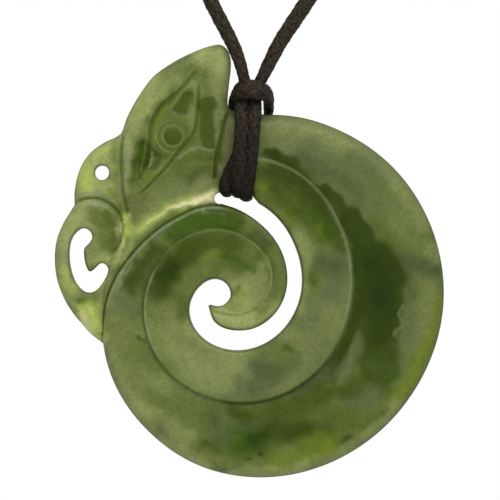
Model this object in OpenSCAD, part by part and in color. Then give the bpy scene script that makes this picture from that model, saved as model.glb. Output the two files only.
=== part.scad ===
// A carved greenstone pendant on a plaited neck cord, as it hangs when worn.
// The front faces -Y and the cord rises to the nape of the neck at the origin.
// The stone is drawn flat, its front towards +Z, round the eye of its koru spiral, and then stood up.

/* [Stone] */
// Height of the middle of the front above the stone's middle plane
front_h = 2.5; // [2.2:0.1:3]
// Depth of the flat back below the stone's middle plane
back_h = 2.2; // [1.8:0.1:2.6]
// Height of the step along the spiral crease
crease_step = 0.5; // [0.2:0.1:0.7]
// Height of the manaia head's front
head_h = 2.3; // [2:0.1:2.6]
// Height of the two lobes at the mouth
lobe_h = 2; // [1.6:0.1:2.3]
// Height of the sunk ground between head and koru
ground_h = 0.9; // [0.5:0.1:1.3]
// Depth of the carved lines on the head
line_depth = 0.45; // [0.2:0.05:0.7]
// Depth of the two rings round its eye
ring_depth = 0.3; // [0.1:0.05:0.6]
// Radius of the small round hole in the upper lobe
round_hole_r = 0.95; // [0.7:0.05:1.2]

/* [Cord] */
// Width of the plaited cord
cord_d = 1.6; // [1.4:0.05:1.6]
// Length of the knot that closes the loop at the nape
knot_length = 8; // [6:0.5:10]
// Width of that knot
knot_d = 4.6; // [4:0.1:5.4]

/* [Hidden] */

// Where the eye of the koru lies below and in front of the nape
eye_at = [-4.4, -154, -233];
cord_sides = 8;
cord_gap = 0.25;
cord_r = cord_d / 2;

// The koru is one band wound nearly 1.6 turns clockwise, a row for each 30 degrees from straight up.
// Columns: inner edge, crease and outer edge as radii from the eye, how far the front lies under front_h,
// width of the outer edge's rounding, height up to which the outer wall is straight.
turn_step = 30;
koru_rows = [
    [13.4, 17.9, 22.4, 0.2, 1.8, 0.8],
    [13.3, 19.1, 26.4, 0.1, 1.8, 0.8],
    [12.0, 18.6, 28.9, 0, 1.8, 0.8],
    [10.8, 17.6, 29.6, 0, 1.8, 0.8],
    [9.4, 16.6, 28.3, 0, 1.8, 0.8],
    [7.9, 15.1, 25.9, 0, 1.8, 0.8],
    [6.4, 13.3, 22.8, 0, 1.8, 0.8],
    [5.1, 11.7, 19.5, 0, 1.6, 0.8],
    [4.0, 10.3, 16.7, 0, 1.2, 0.8],
    [3.1, 9.3, 14.2, 0, 0.9, 0.8],
    [2.5, 8.7, 12.2, 0, 0.8, 0.8],
    [2.3, 8.5, 11.6, 0, 0.6, 1.0],
    [2.2, 8.6, 11.8, 0, 0.5, 1.5],
    [2.1, 8.4, 11.2, 0, 0.5, 1.5],
    [1.9, 8.0, 10.2, 0, 0.5, 1.5],
    [1.7, 6.7, 8.9, 0, 0.5, 1.5],
    [1.4, 4.4, 7.2, 0.1, 0.5, 1.4],
    [1.3, 3.0, 5.2, 0.2, 0.5, 1.3],
    [1.2, 2.1, 3.5, 0.3, 0.4, 1.2],
    [1.2, 1.5, 1.8, 0.5, 0.2, 1.2]
];
koru_first = -2;
koru_last = 570;
koru_pitch = 4.4;
// The band's section: widths of its edges' roundings, heights of its straight walls, the slopes of its front
inner_lip = 0.5;
inner_wall = 1.5;
back_lip = 0.8;
back_wall = 0.9;
front_slope = 0.1;
crease_w = 0.2;
crease_room = 0.3;
slice_h = 0.01;

// Outlines in the stone's own plane, from the eye of the koru: x to the right, y up.
head_outline = [
    [0.5, 32.6], [1.6, 32.1], [1.9, 30.8], [1.8, 28.6], [1.4, 25.7], [0.8, 21.6], [0.3, 18.6],
    [0, 15.8], [-0.4, 14], [-3.4, 13.2], [-6.5, 12], [-9, 10.3], [-10.4, 8.9], [-11.3, 9.2],
    [-11.7, 11.6], [-12, 15], [-12, 19], [-11.8, 21.7], [-10.1, 25.6], [-8.3, 28.2], [-6, 30], [-3, 31.6]
];
upper_lobe_outline = [
    [-11.8, 20.5], [-14.4, 20], [-16.9, 17.7], [-18.1, 14.6], [-18.4, 12], [-15.1, 11.5], [-12.2, 12.4]
];
lower_lobe_outline = [
    [-17.2, 12.6], [-18.5, 11.5], [-19.9, 9], [-20.8, 5.4], [-20.6, 2.3], [-19.4, -0.6], [-17.1, -3.6],
    [-15.1, -5.7], [-13.9, -4.4], [-13.5, 0.8], [-13, 5.4], [-12.4, 8.4], [-13, 11.2], [-15.2, 12.8]
];
ground_outline = [
    [-14.8, -5.4], [-12.8, -4.4], [-12, 0], [-8.6, 5], [-3.4, 8.4], [0.4, 9.4], [0.4, 13.8], [1.4, 15],
    [3.2, 23.2], [1.5, 23.5], [-2, 23.6], [-9, 18], [-11.7, 20.6], [-12, 14], [-17, 14], [-17.6, 12],
    [-13, 11], [-15, 0]
];
hook_hole_outline = [
    [-17.6, 8.9], [-16.5, 8.8], [-15.9, 7.8], [-16.7, 6.5], [-17, 5], [-16.5, 3.5], [-15.4, 4.6],
    [-14.2, 4.6], [-13.8, 3.5], [-14.6, 1.5], [-16.2, 0.1], [-17.8, 1], [-19, 3.6], [-19, 6.6], [-18.4, 8.3]
];
round_hole_at = [-14.8, 16];
slot_end_at = [0.5, 12.5];
slot_end_r = 0.75;
// The cord passes through a widened stretch of the slot's upper wall, with sloping lips at both faces
cord_way = [[1.2, 13.7], [4.3, 13]];
cord_way_r = 0.85;
cord_way_lip = 2.4;
cord_way_lip_h = 1.4;

// Carved lines on the head
eye_ring_at = [-5.6, 20.8];
eye_ring_radii = [1.35, 2.05];
almond_left = [[-2.6, 29.4], [-5.3, 26.1], [-7.7, 22.4], [-8.7, 19], [-9.2, 15.9]];
almond_right = [
    [-2.2, 27.9], [-2.5, 24.1], [-2.8, 21.8], [-4.1, 19.6], [-6.4, 17.2], [-8.2, 15.1], [-9.4, 13.1]
];
line_half = 0.45;
line_cut_h = 1;
ring_half = 0.35;

// The cord's route is chosen by hand. Near the stone its rows are measured from the eye of the koru.
// Columns: x, y, z, half width across the first normal, half width across the second.
// The left strand comes down over the front and goes back through the slot.
left_strand_rows = [
    [-0.6, -1.5, 38.5, cord_r, cord_r],
    [1.9, -1.9, 33.3, cord_r, cord_r],
    [2.9, -2.1, 31, 0.75, 0.75],
    [3.5, -2.2, 29, 0.7, 0.7],
    [3.95, -2.5, 27, 0.58, 0.58],
    [3.5, -3.8, 24.2, 0.7, 0.7],
    [3.3, -4.6, 21.5, 0.75, 0.75],
    [3.1, -4.6, 18.5, 0.75, 0.75],
    [2.9, -4.5, 16, 0.75, 0.75],
    [2.7, -2.8, 13.8, 0.7, 0.7],
    [2.7, 0, 13.2, 0.7, 0.7],
    [2.7, 2.6, 13.8, 0.7, 0.7]
];
// It takes one more turn over the top of the stone and down the front, under the two front strands
inner_turn_rows = [
    [2.9, 3.2, 16, 0.75, 0.75],
    [3.8, 3.1, 20.5, 0.7, 0.7],
    [4.3, 2.7, 23.1, 0.6, 0.6],
    [4.3, 1, 24.5, 0.6, 0.6],
    [4.3, -1, 24.5, 0.6, 0.6],
    [4.2, -2.9, 22.6, 0.6, 0.6],
    [3.2, -3.1, 19.6, 0.65, 0.65],
    [1.8, -3.1, 17, 0.7, 0.7],
    [1.2, -3.1, 15.3, 0.7, 0.7],
    [1.1, -2.3, 13.8, 0.7, 0.7],
    [1.1, 0, 13.3, 0.7, 0.7],
    [1.1, 2.4, 13.8, 0.7, 0.7]
];
// Then it comes up behind the stone, crosses in front of both strands and goes down behind again
bight_rows = [
    [1.2, 3.2, 16, 0.75, 0.75],
    [1.7, 3.1, 20.5, 0.7, 0.7],
    [2.05, 3.2, 23.4, 0.6, 0.65],
    [2.1, 1.5, 25.3, 0.6, 0.65],
    [2.2, -1.2, 26, 0.55, 0.75],
    [2.55, -3.2, 26.8, 0.55, 0.85],
    [3.55, -4.25, 27, 0.55, 0.95],
    [4.55, -4.4, 27.1, 0.55, 1],
    [5.55, -4.25, 27, 0.55, 0.95],
    [6.5, -3.2, 26.6, 0.55, 0.85],
    [6.75, -1.2, 25.8, 0.55, 0.75],
    [6.85, 1, 24.9, 0.6, 0.65],
    [6.7, 2.8, 23.2, 0.6, 0.65],
    [5.6, 3.1, 19.8, 0.7, 0.7],
    [4.5, 3.2, 15.6, 0.75, 0.75]
];
// The right strand comes forward through the slot and goes up over the front
right_strand_rows = [
    [4.2, 2.6, 13.5, 0.7, 0.7],
    [4.2, 0, 12.8, 0.7, 0.7],
    [4.2, -2.8, 13.5, 0.7, 0.7],
    [4.5, -4.1, 15.6, 0.75, 0.75],
    [4.7, -4.4, 18.5, 0.75, 0.75],
    [4.9, -4.5, 21.5, 0.75, 0.75],
    [5, -3.8, 24.2, 0.7, 0.7],
    [5.2, -2.5, 26.6, 0.58, 0.58],
    [6.1, -2.3, 28.7, 0.7, 0.7],
    [7.1, -2.1, 30.8, 0.75, 0.75],
    [8.4, -1.9, 33.3, cord_r, cord_r],
    [11.8, -1.5, 38.5, cord_r, cord_r]
];
// Up to the nape the rows are in the frame. Columns: x on the left and on the right, then y and z.
neck_rows = [
    [-10.2, 14.4, -154.6, -184],
    [-19, 24.6, -150.5, -166],
    [-29, 35, -143.5, -145],
    [-38.8, 44.2, -133.5, -124.5],
    [-47.5, 51.5, -121, -103.5],
    [-54.4, 56.6, -107.5, -84],
    [-58.6, 59.4, -92.5, -66],
    [-60, 60, -76.5, -51.5],
    [-58.6, 58.6, -59.5, -39],
    [-54, 54, -42.5, -28],
    [-46, 46, -26.5, -17.5],
    [-34.8, 34.8, -13.8, -9.2],
    [-21, 21, -5.2, -3.6],
    [-9.2, 9.2, -1, -0.7]
];
knot_end_x = knot_length / 2 + cord_gap;

function unit(v) = v / norm(v);
function blend(a, b, c, d, t) =
    ((2 * b) + (c - a) * t + (2 * a - 5 * b + 4 * c - d) * t * t + (3 * b - a - 3 * c + d) * t * t * t) / 2;

// A row between the rows of an evenly spaced table
function row_at(rows, place) =
    let (last = len(rows) - 1)
    let (i = max(0, min(last - 1, floor(place))))
    blend(rows[max(0, i - 1)], rows[i], rows[i + 1], rows[min(last, i + 2)], place - i);

function smooth_path(rows, parts) =
    [for (i = [0 : (len(rows) - 1) * parts]) row_at(rows, i / parts)];

function smooth_loop(rows, parts) =
    let (n = len(rows))
    [for (i = [0 : n - 1]) for (k = [0 : parts - 1])
        blend(rows[(i + n - 1) % n], rows[i], rows[(i + 1) % n], rows[(i + 2) % n], k / parts)];

// A quarter round from [0, 1] at 0 degrees to [1, 0] at 90
arc_out = [0, 30, 60, 90];
arc_in = [90, 60, 30, 0];
function arc_at(angle) = [sin(angle), cos(angle)];
function blend_h(from, to, share) = from + (to - from) * share;

// The koru band's section at a turn, as radius and height, from its inner back edge
// over the front to its outer back edge
function koru_section(turn) =
    let (row = row_at(koru_rows, turn / turn_step))
    let (inner = row[0], outer = row[2], top = front_h - row[3])
    let (k = min(1, (outer - inner) / (row[4] + inner_lip + 1)))
    let (lip = k * row[4], lip_in = k * inner_lip, lip_back = k * back_lip)
    let (wall = row[5], low = top - k * crease_step)
    let (room = crease_room * k)
    let (crease = max(inner + lip_in + room / 2, min(row[1], outer - lip - room)))
    let (middle = (crease + outer - lip) / 2)
    concat(
        [for (a = arc_out)
            [inner + lip_back * (1 - arc_at(a)[0]), blend_h(-back_wall, -back_h, arc_at(a)[1])]],
        [for (a = arc_in)
            [inner + lip_in * (1 - arc_at(a)[0]), blend_h(inner_wall * k, top - front_slope, arc_at(a)[1])]],
        [[crease - crease_w * k / 2, top], [crease + crease_w * k / 2, low], [middle, low + front_slope * k]],
        [for (a = arc_out)
            [outer - lip * (1 - arc_at(a)[0]), blend_h(wall, low, arc_at(a)[1])]],
        [for (a = arc_in)
            [outer - lip_back * (1 - arc_at(a)[0]), blend_h(-back_wall, -back_h, arc_at(a)[1])]]
    );

// A closed skin over a row of rings that all have the same number of points
module skin(rings) {
    n = len(rings);
    m = len(rings[0]);
    polyhedron(
        points = [for (ring = rings) each ring],
        faces = concat(
            [[for (j = [0 : m - 1]) j]],
            [[for (j = [0 : m - 1]) n * m - 1 - j]],
            [for (i = [0 : n - 2]) for (j = [0 : m - 1]) let (k = (j + 1) % m)
                each [[i * m + j, i * m + m + k, i * m + k], [i * m + j, i * m + m + j, i * m + m + k]]]
        ),
        convexity = 6
    );
}

// A tube along rows of x, y, z and two half widths, its normals carried along without twist
function along(rows, i) = unit(point(rows[min(i + 1, len(rows) - 1)]) - point(rows[max(i - 1, 0)]));
function point(row) = [row[0], row[1], row[2]];
function across(normal, t) = unit(normal - (normal * t) * t);
function tube_rings(rows, start) =
    [for (i = 0, n = across(start, along(rows, 0)); i < len(rows);
            i = i + 1, n = i < len(rows) ? across(n, along(rows, i)) : n)
        let (b = cross(along(rows, i), n))
        [for (k = [0 : cord_sides - 1]) let (a = (k + 0.5) * 360 / cord_sides)
            point(rows[i]) + rows[i][3] * cos(a) * n + rows[i][4] * sin(a) * b]];

module tube(rows, start) {
    skin(tube_rings(rows, start));
}

// The koru band, with a crease that steps down to its outer part
module koru_band() {
    rings = floor((koru_last - koru_first) / koru_pitch);
    skin([for (i = [0 : rings])
        let (turn = koru_first + (koru_last - koru_first) * i / rings, section = koru_section(turn))
        [for (j = [len(section) - 1 : -1 : 0])
            [section[j][0] * sin(turn), section[j][0] * cos(turn), section[j][1]]]]);
}

// A rounded plate: slices of one outline under one skin. Columns: how far the outline is drawn in, height.
module plate(outline, height) {
    slices = [
        [1.7, height], [0.9, height - 0.25], [0.3, height - 0.75], [0, height - 1.4],
        [0, -back_wall], [0.25, -back_h + 0.4], [0.8, -back_h]
    ];
    hull()
        for (s = slices)
            translate([0, 0, s[1] > 0 ? s[1] - slice_h : s[1]])
                linear_extrude(slice_h)
                    offset(delta = -s[0]) polygon(smooth_loop(outline, 3));
}

// A carved line with sloping sides along points in the plane, cut from a given height
module carved_line(points, surface, depth) {
    path = smooth_path(points, 2);
    for (i = [0 : len(path) - 2])
        hull()
            for (p = [path[i], path[i + 1]])
                translate([p[0], p[1], surface - depth])
                    cylinder(h = line_cut_h, r1 = 0, r2 = line_half * line_cut_h / depth, $fn = 6);
}

module eye_rings() {
    translate([eye_ring_at[0], eye_ring_at[1], 0])
        for (r = eye_ring_radii)
            rotate_extrude($fn = 28)
                polygon([
                    [r, head_h - ring_depth],
                    [r + ring_half, head_h + ring_depth],
                    [r - ring_half, head_h + ring_depth]
                ]);
}

module through(outline) {
    translate([0, 0, -2 * back_h])
        linear_extrude(4 * front_h) polygon(outline);
}

// Half of a hole for the cord: straight in the middle of the stone, wider towards the face
module passage_half() {
    translate([0, 0, -0.1]) cylinder(h = 0.2, r = cord_way_r, $fn = 24);
    cylinder(h = cord_way_lip_h, r = cord_way_r, $fn = 24);
    translate([0, 0, 2 * back_h]) cylinder(h = 0.1, r = cord_way_lip, $fn = 24);
}

module stone_flat() {
    difference() {
        union() {
            koru_band();
            plate(head_outline, head_h);
            plate(upper_lobe_outline, lobe_h);
            plate(lower_lobe_outline, lobe_h);
            translate([0, 0, -back_h])
                linear_extrude(back_h + ground_h) polygon(ground_outline);
        }
        through(smooth_loop(hook_hole_outline, 3));
        translate([round_hole_at[0], round_hole_at[1], -2 * back_h])
            cylinder(h = 4 * front_h, r = round_hole_r, $fn = 28);
        translate([0, 0, -2 * back_h])
            hull()
                for (x = [slot_end_at[0], slot_end_at[0] + 1.2])
                    translate([x, slot_end_at[1], 0]) cylinder(h = 4 * front_h, r = slot_end_r, $fn = 24);
        for (side = [-1, 1])
            hull()
                for (p = cord_way)
                    translate([p[0], p[1], 0]) scale([1, 1, side]) passage_half();
        eye_rings();
        carved_line(almond_left, head_h, line_depth);
        carved_line(almond_right, head_h, line_depth);
    }
}

module pendant_stone() {
    color("#6f8a3f")
        translate(eye_at) rotate([90, 0, 0]) stone_flat();
}

// One cord from the knot at the nape down to the stone, through the hitch and back up to the knot
function from_eye(rows) =
    [for (r = rows) [r[0] + eye_at[0], r[1] + eye_at[1], r[2] + eye_at[2], r[3], r[4]]];
function neck_side(side) = concat(
    [for (r = neck_rows) [r[side], r[2], r[3], cord_r, cord_r]],
    [[side == 0 ? -knot_end_x : knot_end_x, 0, 0, cord_r, cord_r]]
);
function turned(rows) = [for (i = [len(rows) - 1 : -1 : 0]) rows[i]];

module neck_cord() {
    color("#2d2520")
        tube(concat(
            turned(neck_side(0)), from_eye(left_strand_rows), from_eye(inner_turn_rows),
            from_eye(bight_rows), from_eye(right_strand_rows), neck_side(1)
        ), [0, 0, 1]);
}

module back_knot() {
    color("#2d2520")
        rotate([0, 90, 0])
            rotate_extrude($fn = 32)
                polygon([
                    [0, -knot_length / 2], [knot_d / 4, -knot_length / 2], [knot_d / 2, -knot_length / 3],
                    [knot_d / 2, knot_length / 3], [knot_d / 4, knot_length / 2], [0, knot_length / 2]
                ]);
}

pendant_stone();
neck_cord();
back_knot();
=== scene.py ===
"""The looks of a carved greenstone pendant on its plaited neck cord.

The stone is one closed mesh. Its points are u and v, in mm to the right of the koru's eye and over it, and its relief
is worked out as a height over that plane. Its colours are soft strokes of named tones, painted over each other on
the vertices. The cord is plaited from eight strands along the same route as the solid's.
"""

import math

import bpy
import numpy as np
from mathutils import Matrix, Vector
from mathutils.geometry import delaunay_2d_cdt
from mathutils.kdtree import KDTree


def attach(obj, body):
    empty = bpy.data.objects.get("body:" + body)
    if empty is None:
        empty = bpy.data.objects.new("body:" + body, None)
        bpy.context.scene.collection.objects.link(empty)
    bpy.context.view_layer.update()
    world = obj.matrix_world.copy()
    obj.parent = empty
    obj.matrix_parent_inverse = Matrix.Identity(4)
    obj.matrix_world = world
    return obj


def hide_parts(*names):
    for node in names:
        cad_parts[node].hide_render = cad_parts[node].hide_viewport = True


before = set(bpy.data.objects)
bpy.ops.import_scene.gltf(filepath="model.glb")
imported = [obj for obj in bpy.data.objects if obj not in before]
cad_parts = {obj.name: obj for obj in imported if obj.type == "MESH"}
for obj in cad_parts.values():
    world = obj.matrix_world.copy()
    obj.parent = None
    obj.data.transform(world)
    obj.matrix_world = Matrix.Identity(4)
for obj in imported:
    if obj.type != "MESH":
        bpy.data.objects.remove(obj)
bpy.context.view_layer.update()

MM = 0.001
EYE = np.array([-4.4, -154.0, -233.0])  # the eye of the koru in the frame, in mm

# ---- Heights of the stone, in mm over its middle plane ----
FRONT_H = 2.5
BACK_H = 2.2
BACK_WALL = 0.9
BACK_LIP = 0.8
CREASE_STEP = 0.45
CREASE_W = 0.3
# The crease's step: first turn and degrees over which it rises from nothing, then those over which it loses a share
# of its height toward the inner arm's tip
CREASE_RISE, CREASE_LOSS, CREASE_LOST = (5, 9), (430, 60), 0.45
HEAD_H = 2.3
HEAD_RISE = 4.2  # from the groove of thin stone to the head's full height
LOBE_H = 2.0
UPPER_LOBE_H = 1.85
GROUND_H = 0.9
PUPIL_H, PUPIL_R = 0.12, 1.25
# Falls of the lobes' fronts, depth and width: the lower lobe's toward the groove round it and toward the thin
# stone, the upper lobe's toward that groove
LOBE_ROUND_FALL, LOBE_GLOW_FALL, UPPER_LOBE_FALL = (0.55, 0.8), (0.6, 1.6), (0.3, 1.2)

# The koru band, a row for each 30 degrees clockwise from straight up: inner edge, crease and outer edge as radii,
# how far the front lies under FRONT_H, width of the outer edge's rounding, height of its straight wall.
TURN_STEP = 30
INNER, CREASE, OUTER, LIP = 0, 1, 2, 4  # columns of the rows
KORU_ROWS = np.array([
    (13.4, 17.9, 22.9, 0.2, 1.8, 0.8),
    (13.12, 19.1, 26.15, 0.1, 1.8, 0.8),
    (12.03, 18.6, 28.8, 0, 1.8, 0.8),
    (10.92, 17.5, 29.55, 0, 1.8, 0.8),
    (9.53, 16.55, 28.22, 0, 1.8, 0.8),
    (8.02, 15.1, 25.82, 0, 1.8, 0.8),
    (6.5, 13.3, 22.75, 0, 1.8, 0.8),
    (5.17, 11.7, 19.25, 0, 1.6, 0.8),
    (4.0, 10.3, 16.47, 0, 1.2, 0.8),
    (3.0, 9.3, 14.2, 0, 0.9, 0.8),
    (2.45, 8.7, 12.2, 0, 0.8, 0.8),
    (2.26, 8.5, 11.6, 0, 0.6, 1.0),
    (2.2, 8.6, 11.95, 0, 0.5, 1.5),
    (2.1, 8.4, 11.04, 0, 0.5, 1.5),
    (1.98, 8.0, 10.14, 0, 0.5, 1.5),
    (1.85, 6.45, 8.9, 0, 0.5, 1.5),
    (1.6, 4.3, 7.12, 0.1, 0.5, 1.4),
    (1.45, 2.55, 5.15, 0.2, 0.5, 1.3),
    (1.3, 1.95, 3.52, 0.3, 0.4, 1.2),
    (1.28, 1.55, 1.82, 0.5, 0.2, 1.2),
])
KORU_LAST, CREASE_LAST = 570, 550  # the turns where the band and the crease end
INNER_LIP, INNER_WALL = 0.5, 1.5
# The outer edge away from the koru: width of its rounding, and how low its straight wall ends under the front
SIDE_LIP, SIDE_DROP = 1.7, 1.35
# The roundings of the two small holes: width and depth
HOLE_LIPS = {"hook": (0.5, 0.5), "hole": (0.35, 0.3)}
OPENINGS = ("slot", "hook", "hole")

# Turns between which the koru's outer edge is the stone's, and where its raised edge over the neck ends
TOP_TURN, TAIL_TURN, NECK_LAST = 15, 247, 372
# The band's start by the cord: between these turns, beyond START_R, and under the top of the groove beside the head.
# What is nearer to the eye than SECOND_R there belongs to the next winding.
START_TURNS, START_R, SECOND_R, GROOVE_TOP = (330, 20), 12.6, 12, 24.45

# Outer edge of the stone where it isn't the koru's, clockwise: the two lobes, the head, and its end by the cord
LOWER_LOBE_EDGE = [
    (-15.12, -5.8), (-15.65, -5.42), (-16.4, -4.75), (-17.35, -3.7), (-18.72, -2.0), (-19.75, -0.25), (-20.65, 2.2),
    (-20.95, 5.0), (-20.65, 7.4), (-19.85, 9.4), (-18.95, 10.9), (-18.4, 11.8),
]
UPPER_LOBE_EDGE = [
    (-18.4, 12.4), (-18.38, 13.6), (-18.05, 15.4), (-17.38, 17.15), (-16.2, 18.72), (-14.65, 19.85), (-13.0, 20.65),
    (-12.3, 21.15),
]
HEAD_EDGE = [
    (-12.05, 21.8), (-11.33, 23.65), (-10.22, 25.65), (-8.48, 28.12), (-6.95, 29.42), (-4.7, 30.8), (-2.1, 32.0),
    (0, 32.6), (0.9, 32.45), (1.5, 31.85), (1.9, 30.7), (1.88, 29.2), (1.66, 27.4), (1.5, 25.8), (1.48, 24.9),
]
TOP_EDGE = [(1.7, 24.4), (2.3, 24.05), (3.4, 23.9), (4.7, 23.85)]
HOOK_HOLE = [
    (-17.7, 8.65), (-16.9, 8.75), (-16.25, 8.3), (-16.05, 7.55), (-16.45, 6.85), (-17.05, 6.2), (-17.1, 5.3),
    (-16.9, 4.1), (-16.4, 3.2), (-15.75, 3.6), (-15.1, 4.2), (-14.4, 4.15), (-14.0, 3.4), (-14.45, 2.15),
    (-15.35, 0.9), (-16.4, 0.45), (-17.42, 0.8), (-18.4, 2.1), (-18.95, 4.0), (-19.05, 6.0), (-18.65, 7.6),
]
ROUND_HOLE_AT, ROUND_HOLE_R = (-14.8, 16.0), 0.95
# The slot: the turns where its upper and lower walls begin, its round end by the neck, how far its other end goes
# past the inner arm's tip, and the way for the cord
SLOT_UPPER_TURN, SLOT_LOWER_TURN = 25, 371
SLOT_END_AT, SLOT_END_R = (0.48, 12.68), 0.75
SLOT_NOSE = 0.25
CORD_WAY = [
    (0.49, 13.43), (0.6, 14.3), (1.2, 14.85), (2.1, 14.85), (3.0, 14.75), (3.9, 14.3), (4.55, 13.6), (4.87, 12.8),
]

HEAD_LEFT = [
    (-12.0, 21.4), (-12.15, 20.3), (-12.3, 18.5), (-12.3, 16.8), (-12.2, 15.2), (-12.1, 13.9), (-11.9, 12.7),
    (-11.65, 11.8), (-11.6, 10.9), (-11.6, 10.0),
]
HEAD_DISC = [
    (1.68, 24.48), (1.43, 23.18), (0.97, 21.5), (0.52, 19.69), (0.13, 18.01), (-0.04, 16.33), (-0.06, 14.9),
]
LOBE_ROUND = [
    (-18.3, 12.06), (-17.46, 12.49), (-16.33, 12.67), (-15.26, 12.6), (-14.19, 12.19), (-13.22, 11.48),
    (-12.51, 10.61), (-12.16, 9.54), (-12.16, 8.46), (-12.38, 7.38), (-12.83, 6.3), (-13.42, 5.33),
]
ALMOND_LEFT = [
    (-2.2, 29.65), (-3.1, 28.49), (-4.07, 27.32), (-5.04, 26.35), (-6.21, 25.45), (-7.37, 24.28),
    (-8.17, 22.86), (-8.53, 21.5), (-8.64, 20.21), (-8.82, 18.91), (-9.01, 17.62), (-9.25, 16.33),
    (-9.41, 15.29),
]
ALMOND_RIGHT = [
    (-2.2, 27.97), (-2.25, 26.55), (-2.33, 25.25), (-2.44, 23.83), (-2.58, 22.47), (-2.78, 21.5),
    (-3.13, 20.78), (-3.62, 20.08), (-4.27, 19.37), (-4.91, 18.59), (-5.56, 17.78), (-6.17, 16.97),
    (-6.98, 16.13), (-7.76, 15.29), (-8.62, 14.39), (-9.59, 13.42), (-10.24, 12.6),
]
# Carved lines: points, depth, half width on the left of their direction and on the right
LINES = {
    "head left": (HEAD_LEFT, 0.35, 1.2, 0.3),
    "head disc": (HEAD_DISC, 0.4, 0.35, 0.45),
    "lobe round": (LOBE_ROUND, 0.35, 0.35, 0.35),
    "almond left": (ALMOND_LEFT, 0.35, 0.55, 0.35),
    "almond right": (ALMOND_RIGHT, 0.35, 0.32, 0.32),
}
LINE_FADE = 0.08  # share of a line's length over which each end fades
# The lower lobe's outline from the end of the groove round it: along the thin stone, then outside the stone
LOBE_REST = [(-14.3, 3.0), (-14.6, 0), (-14.9, -6.5), (-23, -8), (-23, 12)]
UPPER_LOBE_FROM = (-11, 10.2)  # the upper lobe lies on the left of this place and over it
# The lower lobe falls toward the groove round it over the first height, and toward the thin stone under the second
LOBE_TAIL = (4, 4.5)
# The groove of thin stone between the head and the koru's raised edge, down to the lower lobe's tail
GLOW = [
    (0.2, 13.2), (-1.6, 13.0), (-3.25, 12.7), (-4.6, 12.1), (-6.4, 11.2), (-8.0, 10.2), (-9.4, 9.1), (-10.7, 8.0),
    (-11.7, 6.8), (-12.4, 5.4), (-13.1, 3.6), (-13.9, 1.5), (-14.4, -1.0), (-14.7, -3.4), (-15.0, -5.6),
]
EYE_AT = np.array([-5.58, 20.72])  # the head's eye
# Rings round the head's eye: radius, depth, half width
EYE_RINGS = [(1.22, 0.12, 0.14), (1.7, 0.08, 0.18), (2.1, 0.07, 0.12)]
# Scooped places on the head: outline, depth, width of the slope
SCOOPS = [
    ([(-3.94, 26.42), (-2.78, 26.16), (-2.91, 24.35), (-3.36, 23.18), (-4.78, 23.31), (-5.88, 23.96),
      (-5.04, 25.25)], 0.25, 0.4),
    ([(-8.28, 19.17), (-7.37, 18.53), (-6.21, 17.88), (-7.11, 17.1), (-8.28, 16.2), (-8.56, 17.62)], 0.22, 0.35),
    ([(-8.99, 20.73), (-9.63, 20.6), (-10.41, 19.69), (-10.8, 18.27), (-10.93, 16.59), (-10.6, 15.42),
      (-9.83, 15.42), (-9.38, 16.97), (-9.12, 18.91)], 0.3, 0.6),
]

# Distances between the mesh's points: on the front, by the head, on the back and along the outlines
FRONT_STEP, FINE_STEP, BACK_STEP, EDGE_STEP = 0.27, 0.17, 0.6, 0.2
CREASE_ARC = 17  # degrees between points along the crease, at a radius of 1 mm
ROW_STEP = 0.866  # of a grid of even triangles, as a share of its step
# How near to each other points may be: by the outlines and the lines, on the back by the outlines, and on a grid as
# shares of its step, in front and on the back
EDGE_LEAST, LINE_LEAST, BACK_LEAST, GRID_LEAST, BACK_GRID_LEAST = 0.035, 0.075, 0.1, 0.62, 0.55
# Where the points along the outlines lie, as shares of the rounding's width
FRONT_SHARES, BACK_SHARES = (0.03, 0.1, 0.22, 0.4, 0.62, 1.0), (0.12, 0.45)
STONE_BOX, HEAD_BOX = ((-22, -25), (31, 34)), ((-21.5, -6), (3, 33))
SPAN_PARTS = 6  # points for each span of an outline or a line
BATCH = 4000  # points that are compared with a line at a time


def bend(a, b, c, d, t):
    """The smooth curve from b to c at shares t of the way, with a before them and d after them."""
    return (2 * b + (c - a) * t + (2 * a - 5 * b + 4 * c - d) * t ** 2 + (3 * b - a - 3 * c + d) * t ** 3) / 2


def catmull(rows, per, closed=False):
    """Points along a smooth curve through rows, per of them for each span."""
    p = np.array(rows, float)
    n = len(p)
    t = (np.arange(per) / per)[:, None]
    out = []
    for i in range(n if closed else n - 1):
        four = np.arange(i - 1, i + 3)
        out.append(bend(*p[four % n if closed else np.clip(four, 0, n - 1)], t))
    if not closed:
        out.append(p[-1:])
    return np.vstack(out)


def run_of(points):
    """The length along a line up to each of its points."""
    return np.concatenate([[0], np.cumsum(np.linalg.norm(np.diff(points, axis=0), axis=1))])


def between(at, run, rows):
    """Rows at places along a run, column by column."""
    return np.stack([np.interp(at, run, column) for column in rows.T], axis=1)


def even(points, step, closed=False):
    """The same line with its points an even step apart."""
    p = np.vstack([points, points[:1]]) if closed else np.asarray(points, float)
    run = run_of(p)
    at = np.linspace(0, run[-1], max(2, round(run[-1] / step)) + 1)
    out = between(at, run, p)
    return out[:-1] if closed else out


def circle(degrees, radius=1.0):
    """Points of a circle at angles in degrees, anticlockwise from the right."""
    a = np.radians(degrees)
    return radius * np.stack([np.cos(a), np.sin(a)], axis=1)


def unit_rows(rows):
    return rows / np.linalg.norm(rows, axis=1)[:, None]


def left_of(ahead):
    """Rows of length 1 that point to the left of directions in the plane."""
    return unit_rows(np.stack([-ahead[:, 1], ahead[:, 0]], axis=1))


def polar(points):
    """Radii round the koru's eye, and turns in degrees clockwise from straight up."""
    return np.hypot(points[:, 0], points[:, 1]), np.degrees(np.arctan2(points[:, 0], points[:, 1])) % 360


def from_polar(r, turns):
    a = np.radians(turns)
    return np.stack([r * np.sin(a), r * np.cos(a)], axis=1)


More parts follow.
